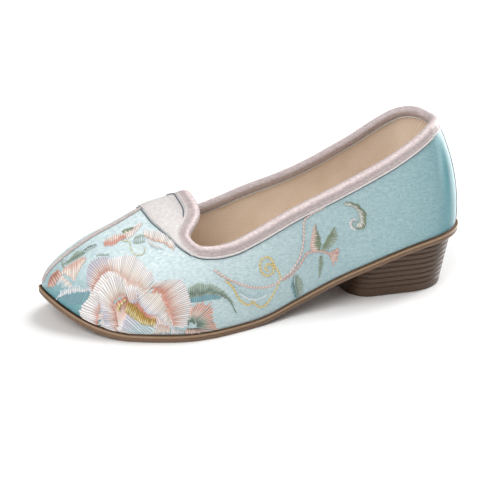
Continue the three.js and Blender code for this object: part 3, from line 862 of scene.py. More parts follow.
@dataclass
class SatinUpper:
    """The satin upper with its lining, one skin with a wall, in place of the part's upper."""

    wall: float = 1.8
    stations: int = 210
    facets: int = 132
    # Tints of the painted shade and of the painted highlight
    painted_shade_tint: tuple[float, float, float] = (0.48, 0.62, 0.62)
    pale: tuple[float, float, float] = (1.24, 1.09, 1.04)
    half_girth: float = 80.0
    # How fast the ridge's painted light takes over up the side, and the bounds of the painted light
    ridge_gain: float = 1.6
    least_painted_light: float = -0.8
    most_painted_light: float = 1.7

    def in_mouth(self, share: np.ndarray, around: np.ndarray) -> np.ndarray:
        """Which places lie inside the mouth, past the collar's edge.

        Args:
            share: place along the last, from 0 at the heel to 1 at the toe.
            around: place round it, from -1 at the right feather to 1 at the left one.

        Returns:
            True inside it.
        """
        edge_share, edge_around = COLLAR.route()
        ring = np.column_stack([np.append(edge_share, [0.0]), np.append(edge_around, [0.0])])
        ring = np.vstack([ring, [[-0.01, 0.0], [-0.01, ring[0, 1]]]])
        a = np.abs(around)
        inside = np.zeros(share.shape, bool)
        for (s0, a0), (s1, a1) in zip(ring, np.roll(ring, -1, axis=0)):
            if a0 == a1:
                continue
            crosses = (a0 > a) != (a1 > a)
            inside ^= crosses & (share < (s1 - s0) * (a - a0) / (a1 - a0) + s0)
        return inside

    def crease(self, share: np.ndarray, around: np.ndarray) -> np.ndarray:
        """Soft troughs and ridges of the lasted cloth, in millimetres off the last.

        Args:
            share: place along the last, from 0 at the heel to 1 at the toe.
            around: place round it, from -1 at the right feather to 1 at the left one.

        Returns:
            The height of each place.
        """
        x = share * LAST.plan_length
        out = np.zeros(share.shape)
        for fold in FOLDS:
            dx, da = x - fold.along, (np.abs(around) - fold.around) * self.half_girth
            turn = math.radians(fold.turn)
            run = dx * math.cos(turn) + da * math.sin(turn)
            across = -dx * math.sin(turn) + da * math.cos(turn)
            out += fold.height * wave(run / fold.length) * wave(across / fold.width)
        return out

    def tone(self, share: np.ndarray, around: np.ndarray) -> np.ndarray:
        """Painted light on the satin: painted paler where highlights fall and deeper where shade falls, by
        share and by height up the side.

        Args:
            share: place along the last, from 0 at the heel to 1 at the toe.
            around: place round it, from -1 at the right feather to 1 at the left one.

        Returns:
            A linear colour that multiplies the dye, with alpha.
        """
        low, high = (smooth_column(PAINTED_LIGHT_TABLE, key)(share) for key in ("low", "high"))
        up = np.clip((1 - np.abs(around)) * self.ridge_gain, 0, 1)
        painted_light_amount = np.clip(low + (high - low) * up, self.least_painted_light, self.most_painted_light)[:, None]
        painted_shade_tint, pale = np.array(self.painted_shade_tint), np.array(self.pale)
        return np.column_stack([painted_shade_tint + (pale - painted_shade_tint) * painted_light_amount, np.ones(len(share))])

    def build(self) -> bpy.types.Object:
        """Builds the skin."""
        def place(u: np.ndarray, v: np.ndarray) -> np.ndarray:
            """Points of the piece for u and v."""
            share, around = end_dense(u), 2 * v - 1
            return LAST.lifted(share, around, self.crease(share, around))

        piece = chart_grid("satin_upper", self.stations, self.facets, place,
                           lambda u, v: self.tone(end_dense(u), 2 * v - 1),
                           keep=lambda u, v: ~self.in_mouth(end_dense(u), 2 * v - 1))
        wall = piece.modifiers.new("wall", "SOLIDIFY")
        wall.thickness = self.wall * MM
        wall.offset = -1
        wall.material_offset = 1
        wall.material_offset_rim = 1
        dress(piece, Finish.SKY_SATIN.material(), Finish.TAN_LINEN.material())
        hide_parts("upper")
        return piece


@dataclass
class CollarBinding:
    """The bias binding folded over the collar, with a white edge cord and under it a dark stitched line that
    also paints the shadow under the cord.
    """

    depth: float = 5.2
    inner_depth: float = 4.4
    cord: float = 0.55
    cord_lift: float = 0.55
    seam: float = 0.34
    inner_cord: float = 0.42
    pucker: float = 0.10
    puckers: int = 88
    tab_flat: float = 0.45
    tab_start: float = 0.655
    tab_half: float = 0.2
    tab_fade: float = 0.1
    stations: int = 420
    facets: int = 40

    def section(self, v: np.ndarray) -> tuple[np.ndarray, np.ndarray]:
        """Depth and lift round the folded band, from its outer edge over the top to its inner edge.

        Args:
            v: places from 0 to 1 across the band.

        Returns:
            Depth and lift in millimetres.
        """
        knots = np.array([0, 0.10, 0.30, 0.42, 0.50, 0.58, 0.70, 0.90, 1.0])
        depth = np.array([self.depth, self.depth - 0.5, 2.4, 0.3, -1.25, 0.3, 2.2, self.inner_depth - 0.4,
                          self.inner_depth])
        lift = np.array([0.15, 1.0, 1.55, 1.45, -0.9, -3.1, -3.25, -2.6, -1.9])
        return np.interp(v, knots, depth), np.interp(v, knots, lift)

    def build(self) -> list[bpy.types.Object]:
        """Builds the band, the cord at its edge and the dark stitched line, which also paints the shadow
        under the cord.
        """
        smooth = self.smooth_section()

        def place(u: np.ndarray, v: np.ndarray) -> np.ndarray:
            """Points of the piece for u and v."""
            depth, lift = smooth(v)
            ripple = np.sin(u * 2 * np.pi * self.puckers + 3 * np.sin(u * 40))
            pucker = self.pucker * ripple * wave((v - 0.22) / 0.25)
            flat = 1 - self.tab_flat * self.on_tab(u)
            return COLLAR.place(u, depth, np.where(lift > 0, lift * flat, lift) + pucker)

        def tone(u: np.ndarray, v: np.ndarray) -> np.ndarray:
            """Linear colours of the piece for u and v: a painted highlight along the fold's crest and along
            the outer edge, and painted shade on the band between them.
            """
            bands = ((0.40, 0.10), (0.06, 0.08), (0.24, 0.09))
            crest, foot, middle = (wave((v - at) / wide) for at, wide in bands)
            pale = (0.5 * crest + 0.3 * foot - 0.12 * middle)[:, None]
            return np.column_stack([np.array([0.97, 0.94, 0.95]) + pale, np.ones(len(u))])

        band = chart_grid("collar_band", self.stations, self.facets, place, tone, loop_u=True, folded=True)
        dress(band, Finish.ROSE_SATIN.material())
        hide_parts("collar_binding")
        edge = self.tube("collar_edge_cord", self.depth + 0.35, self.cord_lift, self.cord)
        dress(edge, Finish.WHITE_SATIN.material())
        # A dark stitched line under the white cord, partly a painted shadow of the cord
        seam = self.tube("collar_seam_thread_and_shadow", self.depth + 1.1, 0.1, self.seam, over_panel=0.85)
        dress(seam, Finish.SEAM_THREAD.material())
        inner = self.tube("collar_inner_thread", self.inner_depth + 0.4, -2.45, self.inner_cord)
        dress(inner, Finish.WHITE_SATIN.material())
        return [band, edge, seam, inner]

    def on_tab(self, u: np.ndarray) -> np.ndarray:
        """1 where the collar runs over the tab, and 0 elsewhere."""
        share, around = COLLAR.stations(u)
        past = np.abs(around) - self.tab_half
        side = wave(past / self.tab_fade * (past > 0))
        return np.clip((share - self.tab_start) / 0.01, 0, 1) * side

    def smooth_section(self) -> Callable[[np.ndarray], tuple[np.ndarray, np.ndarray]]:
        """The section with its corners rounded."""
        fine = np.linspace(0, 1, 241)
        depth, lift = self.section(fine)
        kernel = np.hanning(25)
        kernel /= kernel.sum()
        pad = len(kernel) // 2
        rounded = [np.convolve(np.pad(line, pad, mode="edge"), kernel, mode="valid")
                   for line in (depth, lift)]
        return lambda v: (np.interp(v, fine, rounded[0]), np.interp(v, fine, rounded[1]))

    def tube(self, name: str, depth: float, lift: float, radius: float,
             over_panel: float = 0.0) -> bpy.types.Object:
        """A round cord that runs along the collar at a depth, and rises over the panel in front."""
        def place(u: np.ndarray, v: np.ndarray) -> np.ndarray:
            """Points of the piece for u and v."""
            turn = 2 * np.pi * v
            rise = over_panel * self.on_tab(u)
            down = depth + 1.2 * rise + radius * np.cos(turn)
            return COLLAR.place(u, down, lift + rise + radius * np.sin(turn))

        return chart_grid(name, self.stations, 8, place, loop_u=True, loop_v=True)


@dataclass
class VampPanel:
    """The white satin panel in front of the throat."""

    depth: float = 5.4
    widest: float = 0.48
    puff: float = 1.3
    tuck: float = 1.2
    throat: float = 0.65

    def build(self) -> list[bpy.types.Object]:
        """Builds the panel, and the white cord and the dark stitched line along its lower edge, which also
        paints the shadow under the cord.
        """
        cord = self.edge_tube("panel_edge_cord", -0.0030, 0.75, 0.45)
        dress(cord, Finish.WHITE_SATIN.material())
        # A dark stitched line under the white cord, partly a painted shadow of the cord
        seam = self.edge_tube("panel_seam_thread_and_shadow", 0.0022, 0.2, 0.36)
        dress(seam, Finish.SEAM_THREAD.material())
        pieces = [self.build_sheet(), cord, seam]
        return pieces

    def edge_tube(self, name: str, beyond: float, lift: float, radius: float) -> bpy.types.Object:
        """A thread along the panel's lower edge, beyond it by a share of the last's length."""
        edge_share = smooth_column(PANEL_EDGE, "share", "around")

        def place(u: np.ndarray, v: np.ndarray) -> np.ndarray:
            """Points of the piece for u and v."""
            turn = 2 * np.pi * v
            around = self.widest * (2 * u - 1)
            share = edge_share(np.abs(around)) + beyond + radius / LAST.plan_length * np.cos(turn)
            return LAST.lifted(share, around, lift + radius * np.sin(turn))

        return chart_grid(name, 120, 8, place, loop_v=True)

    def build_sheet(self) -> bpy.types.Object:
        """Builds the panel as a puffed sheet between the binding's edge and its own lower edge."""
        edge_share = smooth_column(PANEL_EDGE, "share", "around")
        where = np.linspace(0.3, 0.7, 400)
        frames = COLLAR.frames(where)
        share, around = COLLAR.moved(frames, np.full(where.shape, self.depth - self.tuck))
        half = np.abs(around)
        mask = (half < self.widest) & (share < edge_share(half)) & (frames["share"] > self.throat)
        share, around = share[mask], around[mask]

        def place(u: np.ndarray, v: np.ndarray) -> np.ndarray:
            """Points of the piece for u and v."""
            at = u * (len(share) - 1)
            top_share = np.interp(at, np.arange(len(share)), share[::-1])
            top_around = np.interp(at, np.arange(len(share)), around[::-1])
            low_around = self.widest * (2 * u - 1)
            low_share = edge_share(np.abs(low_around))
            s = top_share + (low_share - top_share) * v
            a = top_around + (low_around - top_around) * v
            rim = np.minimum(1, np.minimum(v, 1 - v) * 9) ** 0.5
            return LAST.lifted(s, a, -0.2 + self.puff * rim * (0.6 + 0.4 * v))

        def tone(u: np.ndarray, v: np.ndarray) -> np.ndarray:
            """Linear colours of the piece for u and v: painted shade, greyest just under the binding and
            fading down the panel.
            """
            painted_shade_under_binding = wave(v / 0.55)[:, None] * np.array([0.16, 0.19, 0.17])
            return np.column_stack([1.04 - painted_shade_under_binding, np.ones(len(u))])

        piece = chart_grid("vamp_panel", 90, 40, place, tone)
        dress(piece, Finish.WHITE_SATIN.material())
        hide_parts("vamp_tab")
        return piece


@dataclass
class ToePiping:
    """The covered cord over the toe's centre seam."""

    radius: float = 1.15
    lift: float = 0.9
    start: float = 0.772
    end: float = 0.9985

    def build(self) -> bpy.types.Object:
        """Builds the cord from the panel's point to the toe."""
        def place(u: np.ndarray, v: np.ndarray) -> np.ndarray:
            """Points of the piece for u and v."""
            share = self.start + (self.end - self.start) * np.sin(u * np.pi / 2)
            turn = 2 * np.pi * v
            ends = np.minimum(1, np.minimum(u, 1 - u) * 30) ** 0.5
            lift = self.lift * 0.4 + ends * self.lift * np.sin(turn)
            points = LAST.lifted(share, np.zeros(share.shape), lift)
            points[:, 1] += ends * self.radius * np.cos(turn)
            return points

        piece = chart_grid("toe_piping", 120, 14, place, loop_v=True)
        dress(piece, Finish.ROSE_SATIN.material())
        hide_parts("vamp_piping")
        return piece


@dataclass
class BackStrip:
    """The strip over the back seam."""

    reach: float = 0.0115
    puff: float = 0.8
    foot: float = 0.99
    top_depth: float = 4.6
    seam_top: float = 0.41
    seam_foot: float = 0.98
    thread: float = 0.3

    def build(self) -> list[bpy.types.Object]:
        """Builds the strip and the stitched line along each of its sides."""
        strip = self.build_strip()
        seams = [self.seam("back_seam_left", 1.0), self.seam("back_seam_right", -1.0)]
        return [strip, *seams]

    def seam(self, name: str, side: float) -> bpy.types.Object:
        """A stitched line down one side of the strip."""
        def place(u: np.ndarray, v: np.ndarray) -> np.ndarray:
            """Points of the piece for u and v."""
            turn = 2 * np.pi * v
            around = side * (self.seam_top + (self.seam_foot - self.seam_top) * u)
            share = self.reach + 0.0012 + self.thread / LAST.plan_length * np.cos(turn)
            return LAST.lifted(share, around, 0.12 + self.thread * np.sin(turn))

        thread = chart_grid(name, 70, 8, place, loop_v=True)
        return dress(thread, Finish.SEAM_THREAD.material())

    def build_strip(self) -> bpy.types.Object:
        """Builds the strip from the binding down to the feather."""
        top = float(COLLAR.moved(COLLAR.frames(np.array([0.0005])), np.array([self.top_depth]))[1][0])

        def place(u: np.ndarray, v: np.ndarray) -> np.ndarray:
            """Points of the piece for u and v."""
            across = 2 * u - 1
            side = np.where(across < 0, -1.0, 1.0)
            rim = np.minimum(1, (1 - np.abs(across)) * 8) ** 0.5
            around = side * (top + (self.foot - top) * v)
            return LAST.lifted(self.reach * across**2, around, -0.1 + self.puff * rim)

        def tone(u: np.ndarray, v: np.ndarray) -> np.ndarray:
            """Linear colours of the piece for u and v: a paler, warmer tint over the whole strip, a painted
            highlight on the heel's back edge.
            """
            return np.tile((1.18, 1.02, 0.97, 1.0), (len(u), 1))

        piece = chart_grid("back_seam_strip", 40, 70, place, tone)
        dress(piece, Finish.SKY_SATIN.material())
        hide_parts("back_strip")
        return piece


@dataclass
class SoleUnit:
    """The outsole's smooth side with its lip, and the grooved heel block."""

    stations: int = 420
    heel_length: float = 64.5
    heel_width: float = 50.0
    heel_taper: float = 8.6
    heel_corner: float = 11.0
    heel_oval: float = 1.3
    heel_set_in: float = 3.2
    heel_lean: float = 4.8
    heel_band: float = 4.6
    layer: float = 3.0
    groove: float = 1.0
    groove_depth: float = 0.65
    foot_edge: float = 0.6

    def outline(self, u: np.ndarray) -> tuple[np.ndarray, np.ndarray, np.ndarray]:
        """Points of the sole's outline and its outward direction, once round for u from 0 to 1."""
        def at(w: np.ndarray) -> tuple[np.ndarray, np.ndarray]:
            """Points of the outline and their share of the length."""
            w = w % 1.0
            half = np.where(w <= 0.5, w * 2, 2 - w * 2)
            share = end_dense(half)
            left = w <= 0.5
            y = LAST.sole_half(share, left) * np.where(left, 1, -1)
            return np.stack([LAST.along_shoe(share), y], -1), share

        points, share = at(u)
        ahead, _ = at(u + 0.0015)
        behind, _ = at(u - 0.0015)
        along = ahead - behind
        along /= np.linalg.norm(along, axis=1, keepdims=True)
        return points, np.stack([-along[:, 1], along[:, 0]], -1), share

    def build_rim(self) -> list[bpy.types.Object]:
        """Builds the side band with its step, and the light lip along its top."""
        profile_v = np.array([0, 0.12, 0.3, 0.62, 0.74, 0.8, 1.0])
        inset = np.array([1.2, 0.25, -0.12, -0.15, 0.1, 0.45, 0.55])
        height = np.array([0.03, 0.08, 0.6, 1.9, 2.15, 2.2, 2.9])

        def place(u: np.ndarray, v: np.ndarray) -> np.ndarray:
            """Points of the piece for u and v."""
            points, outward, share = self.outline(u)
            spot = points - outward * np.interp(v, profile_v, inset)[:, None]
            z = LAST.underside(share) + np.interp(v, profile_v, height)
            return np.column_stack([spot, z])

        band = chart_grid("sole_side_band", self.stations, 18, place, loop_u=True)
        dress(band, Finish.RIM_RUBBER.material())

        def place_lip(u: np.ndarray, v: np.ndarray) -> np.ndarray:
            """Points of the lip for u and v."""
            points, outward, share = self.outline(u)
            turn = 2 * np.pi * v
            spot = points - outward * (0.1 - 0.42 * np.cos(turn))[:, None]
            z = LAST.underside(share) + 2.75 + 0.62 * np.sin(turn)
            return np.column_stack([spot, z])

        lip = chart_grid("sole_lip", self.stations, 12, place_lip, loop_u=True, loop_v=True)
        dress(lip, Finish.LIP_RUBBER.material())
        return [band, lip]

    def heel_plan(self, w: np.ndarray, narrow: np.ndarray, forward: np.ndarray) -> np.ndarray:
        """The heel block's outline at one level, once round from the middle of its front."""
        half = self.heel_width / 2 - narrow
        back = self.heel_set_in + forward
        front = self.heel_set_in + self.heel_length
        middle = back + half * self.heel_oval
        left = np.where(w <= 0.5, w * 2, 2 - w * 2)
        side = np.where(w <= 0.5, 1.0, -1.0)
        flat = half - self.heel_corner
        pieces = np.clip(left / 0.12, 0, 1)
        corner = np.clip((left - 0.12) / 0.2, 0, 1) * np.pi / 2
        straight = np.clip((left - 0.32) / 0.18, 0, 1)
        rear = np.clip((left - 0.5) / 0.5, 0, 1) * np.pi / 2
        x = front - self.heel_corner * (1 - np.cos(corner))
        x = x + (middle - (front - self.heel_corner)) * straight
        x = x - (middle - back) * np.sin(rear)
        y = flat * pieces + self.heel_corner * np.sin(corner)
        y = np.where(left > 0.5, half * np.cos(rear), y)
        return np.stack([x, side * y], -1)

    def build_heel(self) -> bpy.types.Object:
        """Builds the block with its grooves between layers."""
        def place(u: np.ndarray, v: np.ndarray) -> np.ndarray:
            """Points of the piece for u and v."""
            plan = self.heel_plan(u, np.zeros(u.shape), np.zeros(u.shape))
            top = LAST.underside(plan[:, 0] / LAST.plan_length) - 0.05
            z = top * np.clip((v - 0.06) / 0.94, 0, 1)
            cap = np.clip(v / 0.06, 0, 1)
            low = 1 - z / LAST.heel_rise
            turn = np.mod(z - self.heel_band, self.layer)
            in_groove = (z > self.heel_band - 0.01) & (turn < self.groove)
            hollow = np.sin(np.pi * np.clip(turn / self.groove, 0, 1))
            groove = np.where(in_groove, self.groove_depth * hollow, 0)
            edge = self.foot_edge * np.clip(1 - z / self.foot_edge, 0, 1) ** 2
            inset = groove + edge
            spot = self.heel_plan(u, inset + self.heel_taper / 2 * low, inset + self.heel_lean * low)
            middle = np.array([self.heel_set_in + self.heel_length / 2, 0.0])
            spot = middle + (spot - middle) * cap[:, None]
            return np.column_stack([spot, z])

        heel = chart_grid("heel_block", 160, 170, place, loop_u=True)
        dress(heel, Finish.HEEL_RUBBER.material())
        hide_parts("heel")
        return heel

    def build(self) -> list[bpy.types.Object]:
        """Builds the sole unit's pieces."""
        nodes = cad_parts
        dress(nodes["outsole"], Finish.RIM_RUBBER.material())
        dress(nodes["insole"], Finish.TAN_LINEN.material())
        return [*self.build_rim(), self.build_heel()]


# The embroidery, laid out by the photograph's own pixels on the shoe's left side

Pixels = tuple[tuple[float, float], ...]


@dataclass(frozen=True)
class Stitches:
    """A patch of satin stitch: threads laid side by side from a root line to a rim line."""

    name: str
    root: Pixels
    rim: Pixels
    tones: tuple[str, str, str]
    thread: float = 1.0
    ragged: float = 0.7
    height: float = 0.45
    base: float = 0.25


@dataclass(frozen=True)
class Cord:
    """A couched cord: its line, its radius in millimetres and the tones of its two strands."""

    name: str
    line: Pixels
    radius: float
    tones: tuple[str, str]
    base: float = 0.3
    pitch: float = 2.0


CORAL, PINK, BLUSH = "#d5937f", "#e2b9ab", "#ecd5cb"
WHITE, CREAM, LAVENDER, PALE_BLUE = "#f2edec", "#f0e6dc", "#d5d2de", "#c9dbe0"
GREEN, SAGE, OLIVE, TEAL = "#6c8276", "#a9b9ab", "#8a987b", "#84adb6"
GOLD, STRAW, RUST, ROSE_BROWN = "#c09a48", "#e8dba6", "#b07358", "#a98e8b"

PEONY = (
    Stitches("peony_ground_top", ((106, 318), (108, 306), (118, 298), (132, 298), (145, 304)),
             ((91, 322), (88, 296), (96, 272), (130, 263), (150, 284)), (BLUSH, BLUSH, WHITE), height=0.15,
             base=0.08),
    Stitches("peony_ground_centre", ((110, 308), (115, 316), (122, 324), (130, 330)),
             ((126, 295), (138, 302), (150, 311), (164, 322)), (PINK, BLUSH, CORAL), height=0.15, base=0.05),
    Stitches("peony_ground_right", ((150, 293), (157, 297), (162, 305), (167, 318)),
             ((157, 286), (167, 291), (171, 303), (175, 320)), (CORAL, PINK, CORAL), height=0.2, base=0.06),
    Stitches("peony_ground_low", ((112, 308), (126, 312), (144, 318), (168, 306)),
             ((97, 328), (120, 334), (150, 335), (180, 326)), (PINK, BLUSH, WHITE), height=0.15, base=0.08),
    Stitches("peony_leaf_fill", ((59, 297), (70, 303), (81, 304), (88, 299)),
             ((62, 294), (72, 292), (82, 291), (91, 291)), (TEAL, TEAL, TEAL), height=0.15, ragged=0.2),
    Stitches("peony_pale_leaf", ((56, 299), (62, 296), (71.5, 293.5), (84, 292), (93, 291)),
             ((57, 297), (61, 291), (70, 287), (82, 286), (92, 288)), (PALE_BLUE, WHITE, PALE_BLUE)),
    Stitches("petal_left", ((93, 291), (96, 285), (101, 277), (108, 271.5), (112, 271)),
             ((87.5, 290), (87, 284), (87, 270), (92, 261), (101, 257), (109, 257.5)),
             (CORAL, BLUSH, LAVENDER)),
    Stitches("petal_top", ((111, 272), (118, 274), (124, 280), (130, 284), (137, 285), (145, 291)),
             ((107, 260), (117, 257), (130, 255.5), (140, 259.5), (145, 267.5), (152.5, 273), (153.5, 281)),
             (PINK, CREAM, WHITE)),
    Stitches("petal_right", ((148, 290.5), (156, 287.8), (162, 291.5), (165.5, 300), (168, 309), (171, 320),
                             (173, 326)),
             ((153, 283), (161, 281), (172, 279.8), (182, 281), (187, 288), (190, 297), (192, 308),
              (191, 318),
              (184, 328)), (CORAL, BLUSH, WHITE), ragged=0.9),
    Stitches("petal_fold", ((135, 288), (137.5, 298), (141, 306.5), (148.5, 315), (157, 316.5), (168, 326)),
             ((138, 286.5), (148, 292), (159, 293.5), (164, 300.5), (166.5, 311), (171, 324)),
             (LAVENDER, WHITE, CREAM), height=0.4, base=0.6),
    Stitches("petal_small_fold", ((130, 304), (134, 304), (138, 301)), ((124, 287), (130, 285), (136, 286)),
             (LAVENDER, BLUSH, WHITE), base=0.5),
    Stitches("petal_middle", ((116, 313), (113, 306), (116, 299.5), (122, 296), (127, 298)),
             ((102, 310), (98.5, 302), (98.5, 292), (105, 282), (114, 275), (121, 278), (125, 286)),
             (PINK, CREAM, WHITE), base=0.45),
    Stitches("petal_low_left", ((98, 325.5), (99.5, 316), (101, 308), (99, 300)),
             ((81, 321), (79.8, 311), (84.5, 303), (91, 297), (98, 292.5)), (CORAL, WHITE, WHITE), base=0.3),
    Stitches("petal_low_middle", ((119, 327), (118, 318), (116, 311), (113, 305)),
             ((104, 327), (102.5, 318), (101, 310), (99, 301)), (CORAL, BLUSH, LAVENDER), base=0.35),
    Stitches("petal_low_small", ((118, 332), (116, 327), (112, 325)), ((110, 332), (105, 329), (104.5, 325)),
             (CORAL, WHITE, WHITE)),
    Stitches("petal_low_lavender", ((121, 329), (123, 320), (127, 312), (131, 315)),
             ((131, 333), (141, 334), (152, 333.5), (157, 329)), (LAVENDER, LAVENDER, PALE_BLUE), height=0.3,
             thread=1.4),
    Stitches("petal_low_coral", ((158, 324), (164, 324), (170, 328)), ((154, 333), (162, 333.5), (170, 333)),
             (PINK, BLUSH, CREAM), base=0.35),
    Stitches("petal_low_right", ((172, 323), (176, 328), (180, 329)), ((171, 333), (178, 334), (185, 331)),
             (WHITE, PALE_BLUE, WHITE), base=0.3),
    Stitches("stamens_left", ((120, 312), (121, 306), (127, 300)), ((114, 306), (117.5, 300.5), (125, 297)),
             (GOLD, STRAW, CORAL), base=0.9, thread=1.3),
    Stitches("stamens_middle", ((125, 311), (129.5, 316), (135, 320), (141, 323.5), (149, 325.5),
             (155, 324.5)),
             ((127.5, 302), (136, 305), (140.5, 311), (146.5, 316), (151, 317.5), (156, 318)),
             (GOLD, STRAW, GOLD), base=0.9, thread=1.3, height=0.6),
)

TOE_SPRAY = (
    Stitches("toe_bud", ((47.6, 288.5), (49, 280), (52.5, 274), (58, 269.5)),
             ((49.5, 287.5), (54, 286), (58, 281), (62, 274)), (PINK, RUST, PINK), ragged=0.3),
    Stitches("toe_leaf", ((63, 266), (70, 263), (77, 259), (85, 254)),
             ((64, 263), (70, 258.5), (77, 251.5), (85, 252)),
             (SAGE, GREEN, SAGE), ragged=0.4),
    Stitches("toe_petals", ((62, 274), (70, 277), (74, 281.5), (77, 275), (81, 268), (86, 261)),
             ((62.5, 271), (66, 267), (70, 264), (75, 261.5), (80, 259), (86, 257)), (BLUSH, CREAM, PINK)),
    Stitches("toe_leaf_pale", ((84, 254), (90, 250), (97, 247)), ((83, 250), (89, 246), (96, 244)),
             (SAGE, PALE_BLUE, GREEN), height=0.25, ragged=0.5),
    Stitches("toe_leaf_small", ((63, 268), (61, 262), (64, 257)), ((67, 266), (67, 261), (66, 257)),
             (OLIVE, SAGE, PALE_BLUE), height=0.25, ragged=0.4),
    Stitches("toe_petal_low", ((62, 276), (68, 281), (73, 286)), ((57, 283), (62, 287), (68, 289)),
             (BLUSH, CREAM, PALE_BLUE), height=0.25, ragged=0.6),
    Stitches("toe_faint_leaf", ((96, 256), (103, 255.5), (109, 256)), ((97, 254), (103, 253), (109, 254.5)),
             (SAGE, SAGE, PALE_BLUE), height=0.2),
)

BLOSSOM = (
    Stitches("blossom_left", ((104, 246), (112, 246), (120, 241.5), (127.5, 238)),
             ((103.5, 241), (108, 238), (115, 235), (122, 233.5), (127, 235)), (PINK, CORAL, BLUSH)),
    Stitches("blossom_middle", ((127, 240), (133, 236), (138, 230), (142, 226)),
             ((125, 234.5), (131, 230.5), (137, 225), (143, 222)), (CREAM, WHITE, BLUSH)),
    Stitches("blossom_centre", ((133, 243.5), (139, 244), (145, 242)), ((134, 238), (139, 235), (144, 235)),
             (SAGE, PALE_BLUE, SAGE), height=0.3),
    Stitches("blossom_right", ((144, 236), (152.5, 241), (161.5, 243), (168, 247), (174, 250.5)),
             ((143.5, 229.5), (155.5, 230.8), (167.5, 236), (175.5, 245)), (PINK, CREAM, WHITE)),
    Stitches("blossom_under", ((146, 238), (153, 244), (160, 246)), ((150, 247), (157, 250), (165, 250)),
             (WHITE, CREAM, PALE_BLUE), height=0.25, base=0.1),
    Stitches("blossom_bud", ((127, 238), (131, 234), (136, 232)), ((121, 231), (127, 228), (133, 227)),
             (SAGE, CREAM, OLIVE), height=0.3, base=0.1),
)

LEAVES = (
    Stitches("cluster_top", ((188.5, 321), (191, 319.5), (194, 321)),
             ((190, 307), (200, 303.5), (211, 304.5)),
             (GREEN, BLUSH, PINK), thread=1.1, ragged=1.2),
    Stitches("cluster_centre", ((188, 326), (191, 322), (195, 325)), ((186, 318), (191, 315), (196, 318)),
             (GREEN, GREEN, SAGE)),
    Stitches("cluster_low", ((187, 328), (192, 328), (197, 328)), ((183, 335), (198, 336), (214, 333.5)),
             (GREEN, PINK, BLUSH), ragged=0.9),
    Stitches("cluster_right", ((194.5, 321), (196.5, 324), (197, 327)),
             ((211, 306), (212.5, 318), (217, 331)),
             (GREEN, SAGE, PINK), thread=1.1, ragged=1.2),
    Stitches("sickle_fill", ((190, 303), (200, 302), (211, 300), (221, 299)),
             ((189, 298), (199, 296), (210, 294), (220, 296)), (TEAL, TEAL, TEAL), height=0.2, ragged=0.2),
    Stitches("sickle_edge", ((189, 299), (199, 296.5), (210, 294), (220, 296), (229, 302), (235, 312)),
             ((188, 288), (199, 283.5), (213, 284.5), (222.5, 290), (230, 298), (237, 314)),
             (SAGE, GREEN, SAGE)),
    Stitches("pink_leaf", ((311, 251), (310.5, 243), (312, 234), (314.6, 223.5)),
             ((320, 250.5), (321, 243), (318, 233), (315.2, 223.5)), (PINK, BLUSH, OLIVE), height=0.35),
    Stitches("olive_leaf", ((321.5, 250), (324, 243), (329, 235), (334, 227)),
             ((324, 251), (330, 248), (336, 241), (337, 233), (334.5, 227)),
             (OLIVE, OLIVE, SAGE), height=0.3),
    Stitches("hanging_leaf", ((319.5, 256), (318.5, 266), (318.5, 278)),
             ((323, 256), (322.5, 266), (319.5, 278)),
             (SAGE, OLIVE, SAGE), height=0.3),
    Stitches("low_leaf_dark", ((293, 275), (294, 284), (297, 298)), ((292, 279), (291, 287), (296, 299)),
             (OLIVE, GREEN, TEAL), height=0.3),
    Stitches("low_leaf_pale", ((293.5, 275), (295.5, 284), (297.5, 298)),
             ((297, 274), (303, 284), (299, 298)),
             (GREEN, SAGE, SAGE), height=0.3),
    Stitches("side_flower", ((326, 254), (329, 256), (331, 260)), ((338, 248), (338, 256), (333, 266)),
             (PINK, BLUSH, PINK), ragged=1.6, height=0.35),
    Stitches("scroll_arm", ((343, 205), (352, 207), (357.5, 213), (359, 220), (356, 224)),
             ((343.5, 202.5), (353, 202.5), (363, 209), (367, 219), (364, 228), (357, 231)),
             (SAGE, WHITE, OLIVE)),
    Stitches("scroll_eye", ((353, 226), (352, 223), (354, 220.5), (357, 222)),
             ((356, 231), (350, 227), (350, 220), (355, 217.5)), (OLIVE, SAGE, WHITE), height=0.35),
)

CORDS = (
    Cord("stem_upper", ((213, 269.5), (224, 277), (238, 283.4), (255, 287.6), (271, 285.6), (281, 279),
                        (290, 272),
                        (297, 262), (301, 253), (303.5, 238), (303.8, 222), (308, 216.5), (317, 211),
                        (325, 207)),
         0.48, (ROSE_BROWN, BLUSH)),
    Cord("stem_lower", ((281, 281.5), (291.5, 274), (300, 264), (306, 254), (310.5, 252.2), (319.5, 251),
                        (327, 253),
                        (333, 253.5), (339.5, 248.5)), 0.5, (ROSE_BROWN, PINK)),
    Cord("gold_cord", ((224.7, 280), (232, 286.8), (239, 298.9), (246, 304.6), (250.5, 303.8), (252.3, 301.3),
                       (255, 304), (259.7, 306.9), (265.5, 304.6), (272.3, 295), (279, 281), (279.2, 274),
                       (274.6, 266.2), (271.2, 259.5), (266.6, 257), (261, 260.2), (259.9, 266.2),
                       (261.4, 272.3),
                       (266, 275.7), (271, 274.2), (273.4, 269.6), (272, 265.5), (268, 264), (265.2, 267.2),
                       (266.8, 270.6), (269.4, 270.2)), 0.42, (GOLD, STRAW)),
    Cord("blue_thread_top", ((233, 286), (243, 293), (254, 295.5), (266, 292)), 0.3, (PALE_BLUE, TEAL)),
    Cord("blue_thread_low", ((240, 293), (249, 299), (258, 299), (267, 294)), 0.3, (PALE_BLUE, WHITE)),
    Cord("blossom_swirl", ((121.7, 241), (129, 242), (131, 249), (134, 253.8), (138.6, 255.5), (143.4, 253.8),
                           (145, 250), (143, 246.5)), 0.24, (SAGE, STRAW), pitch=3.0),
)


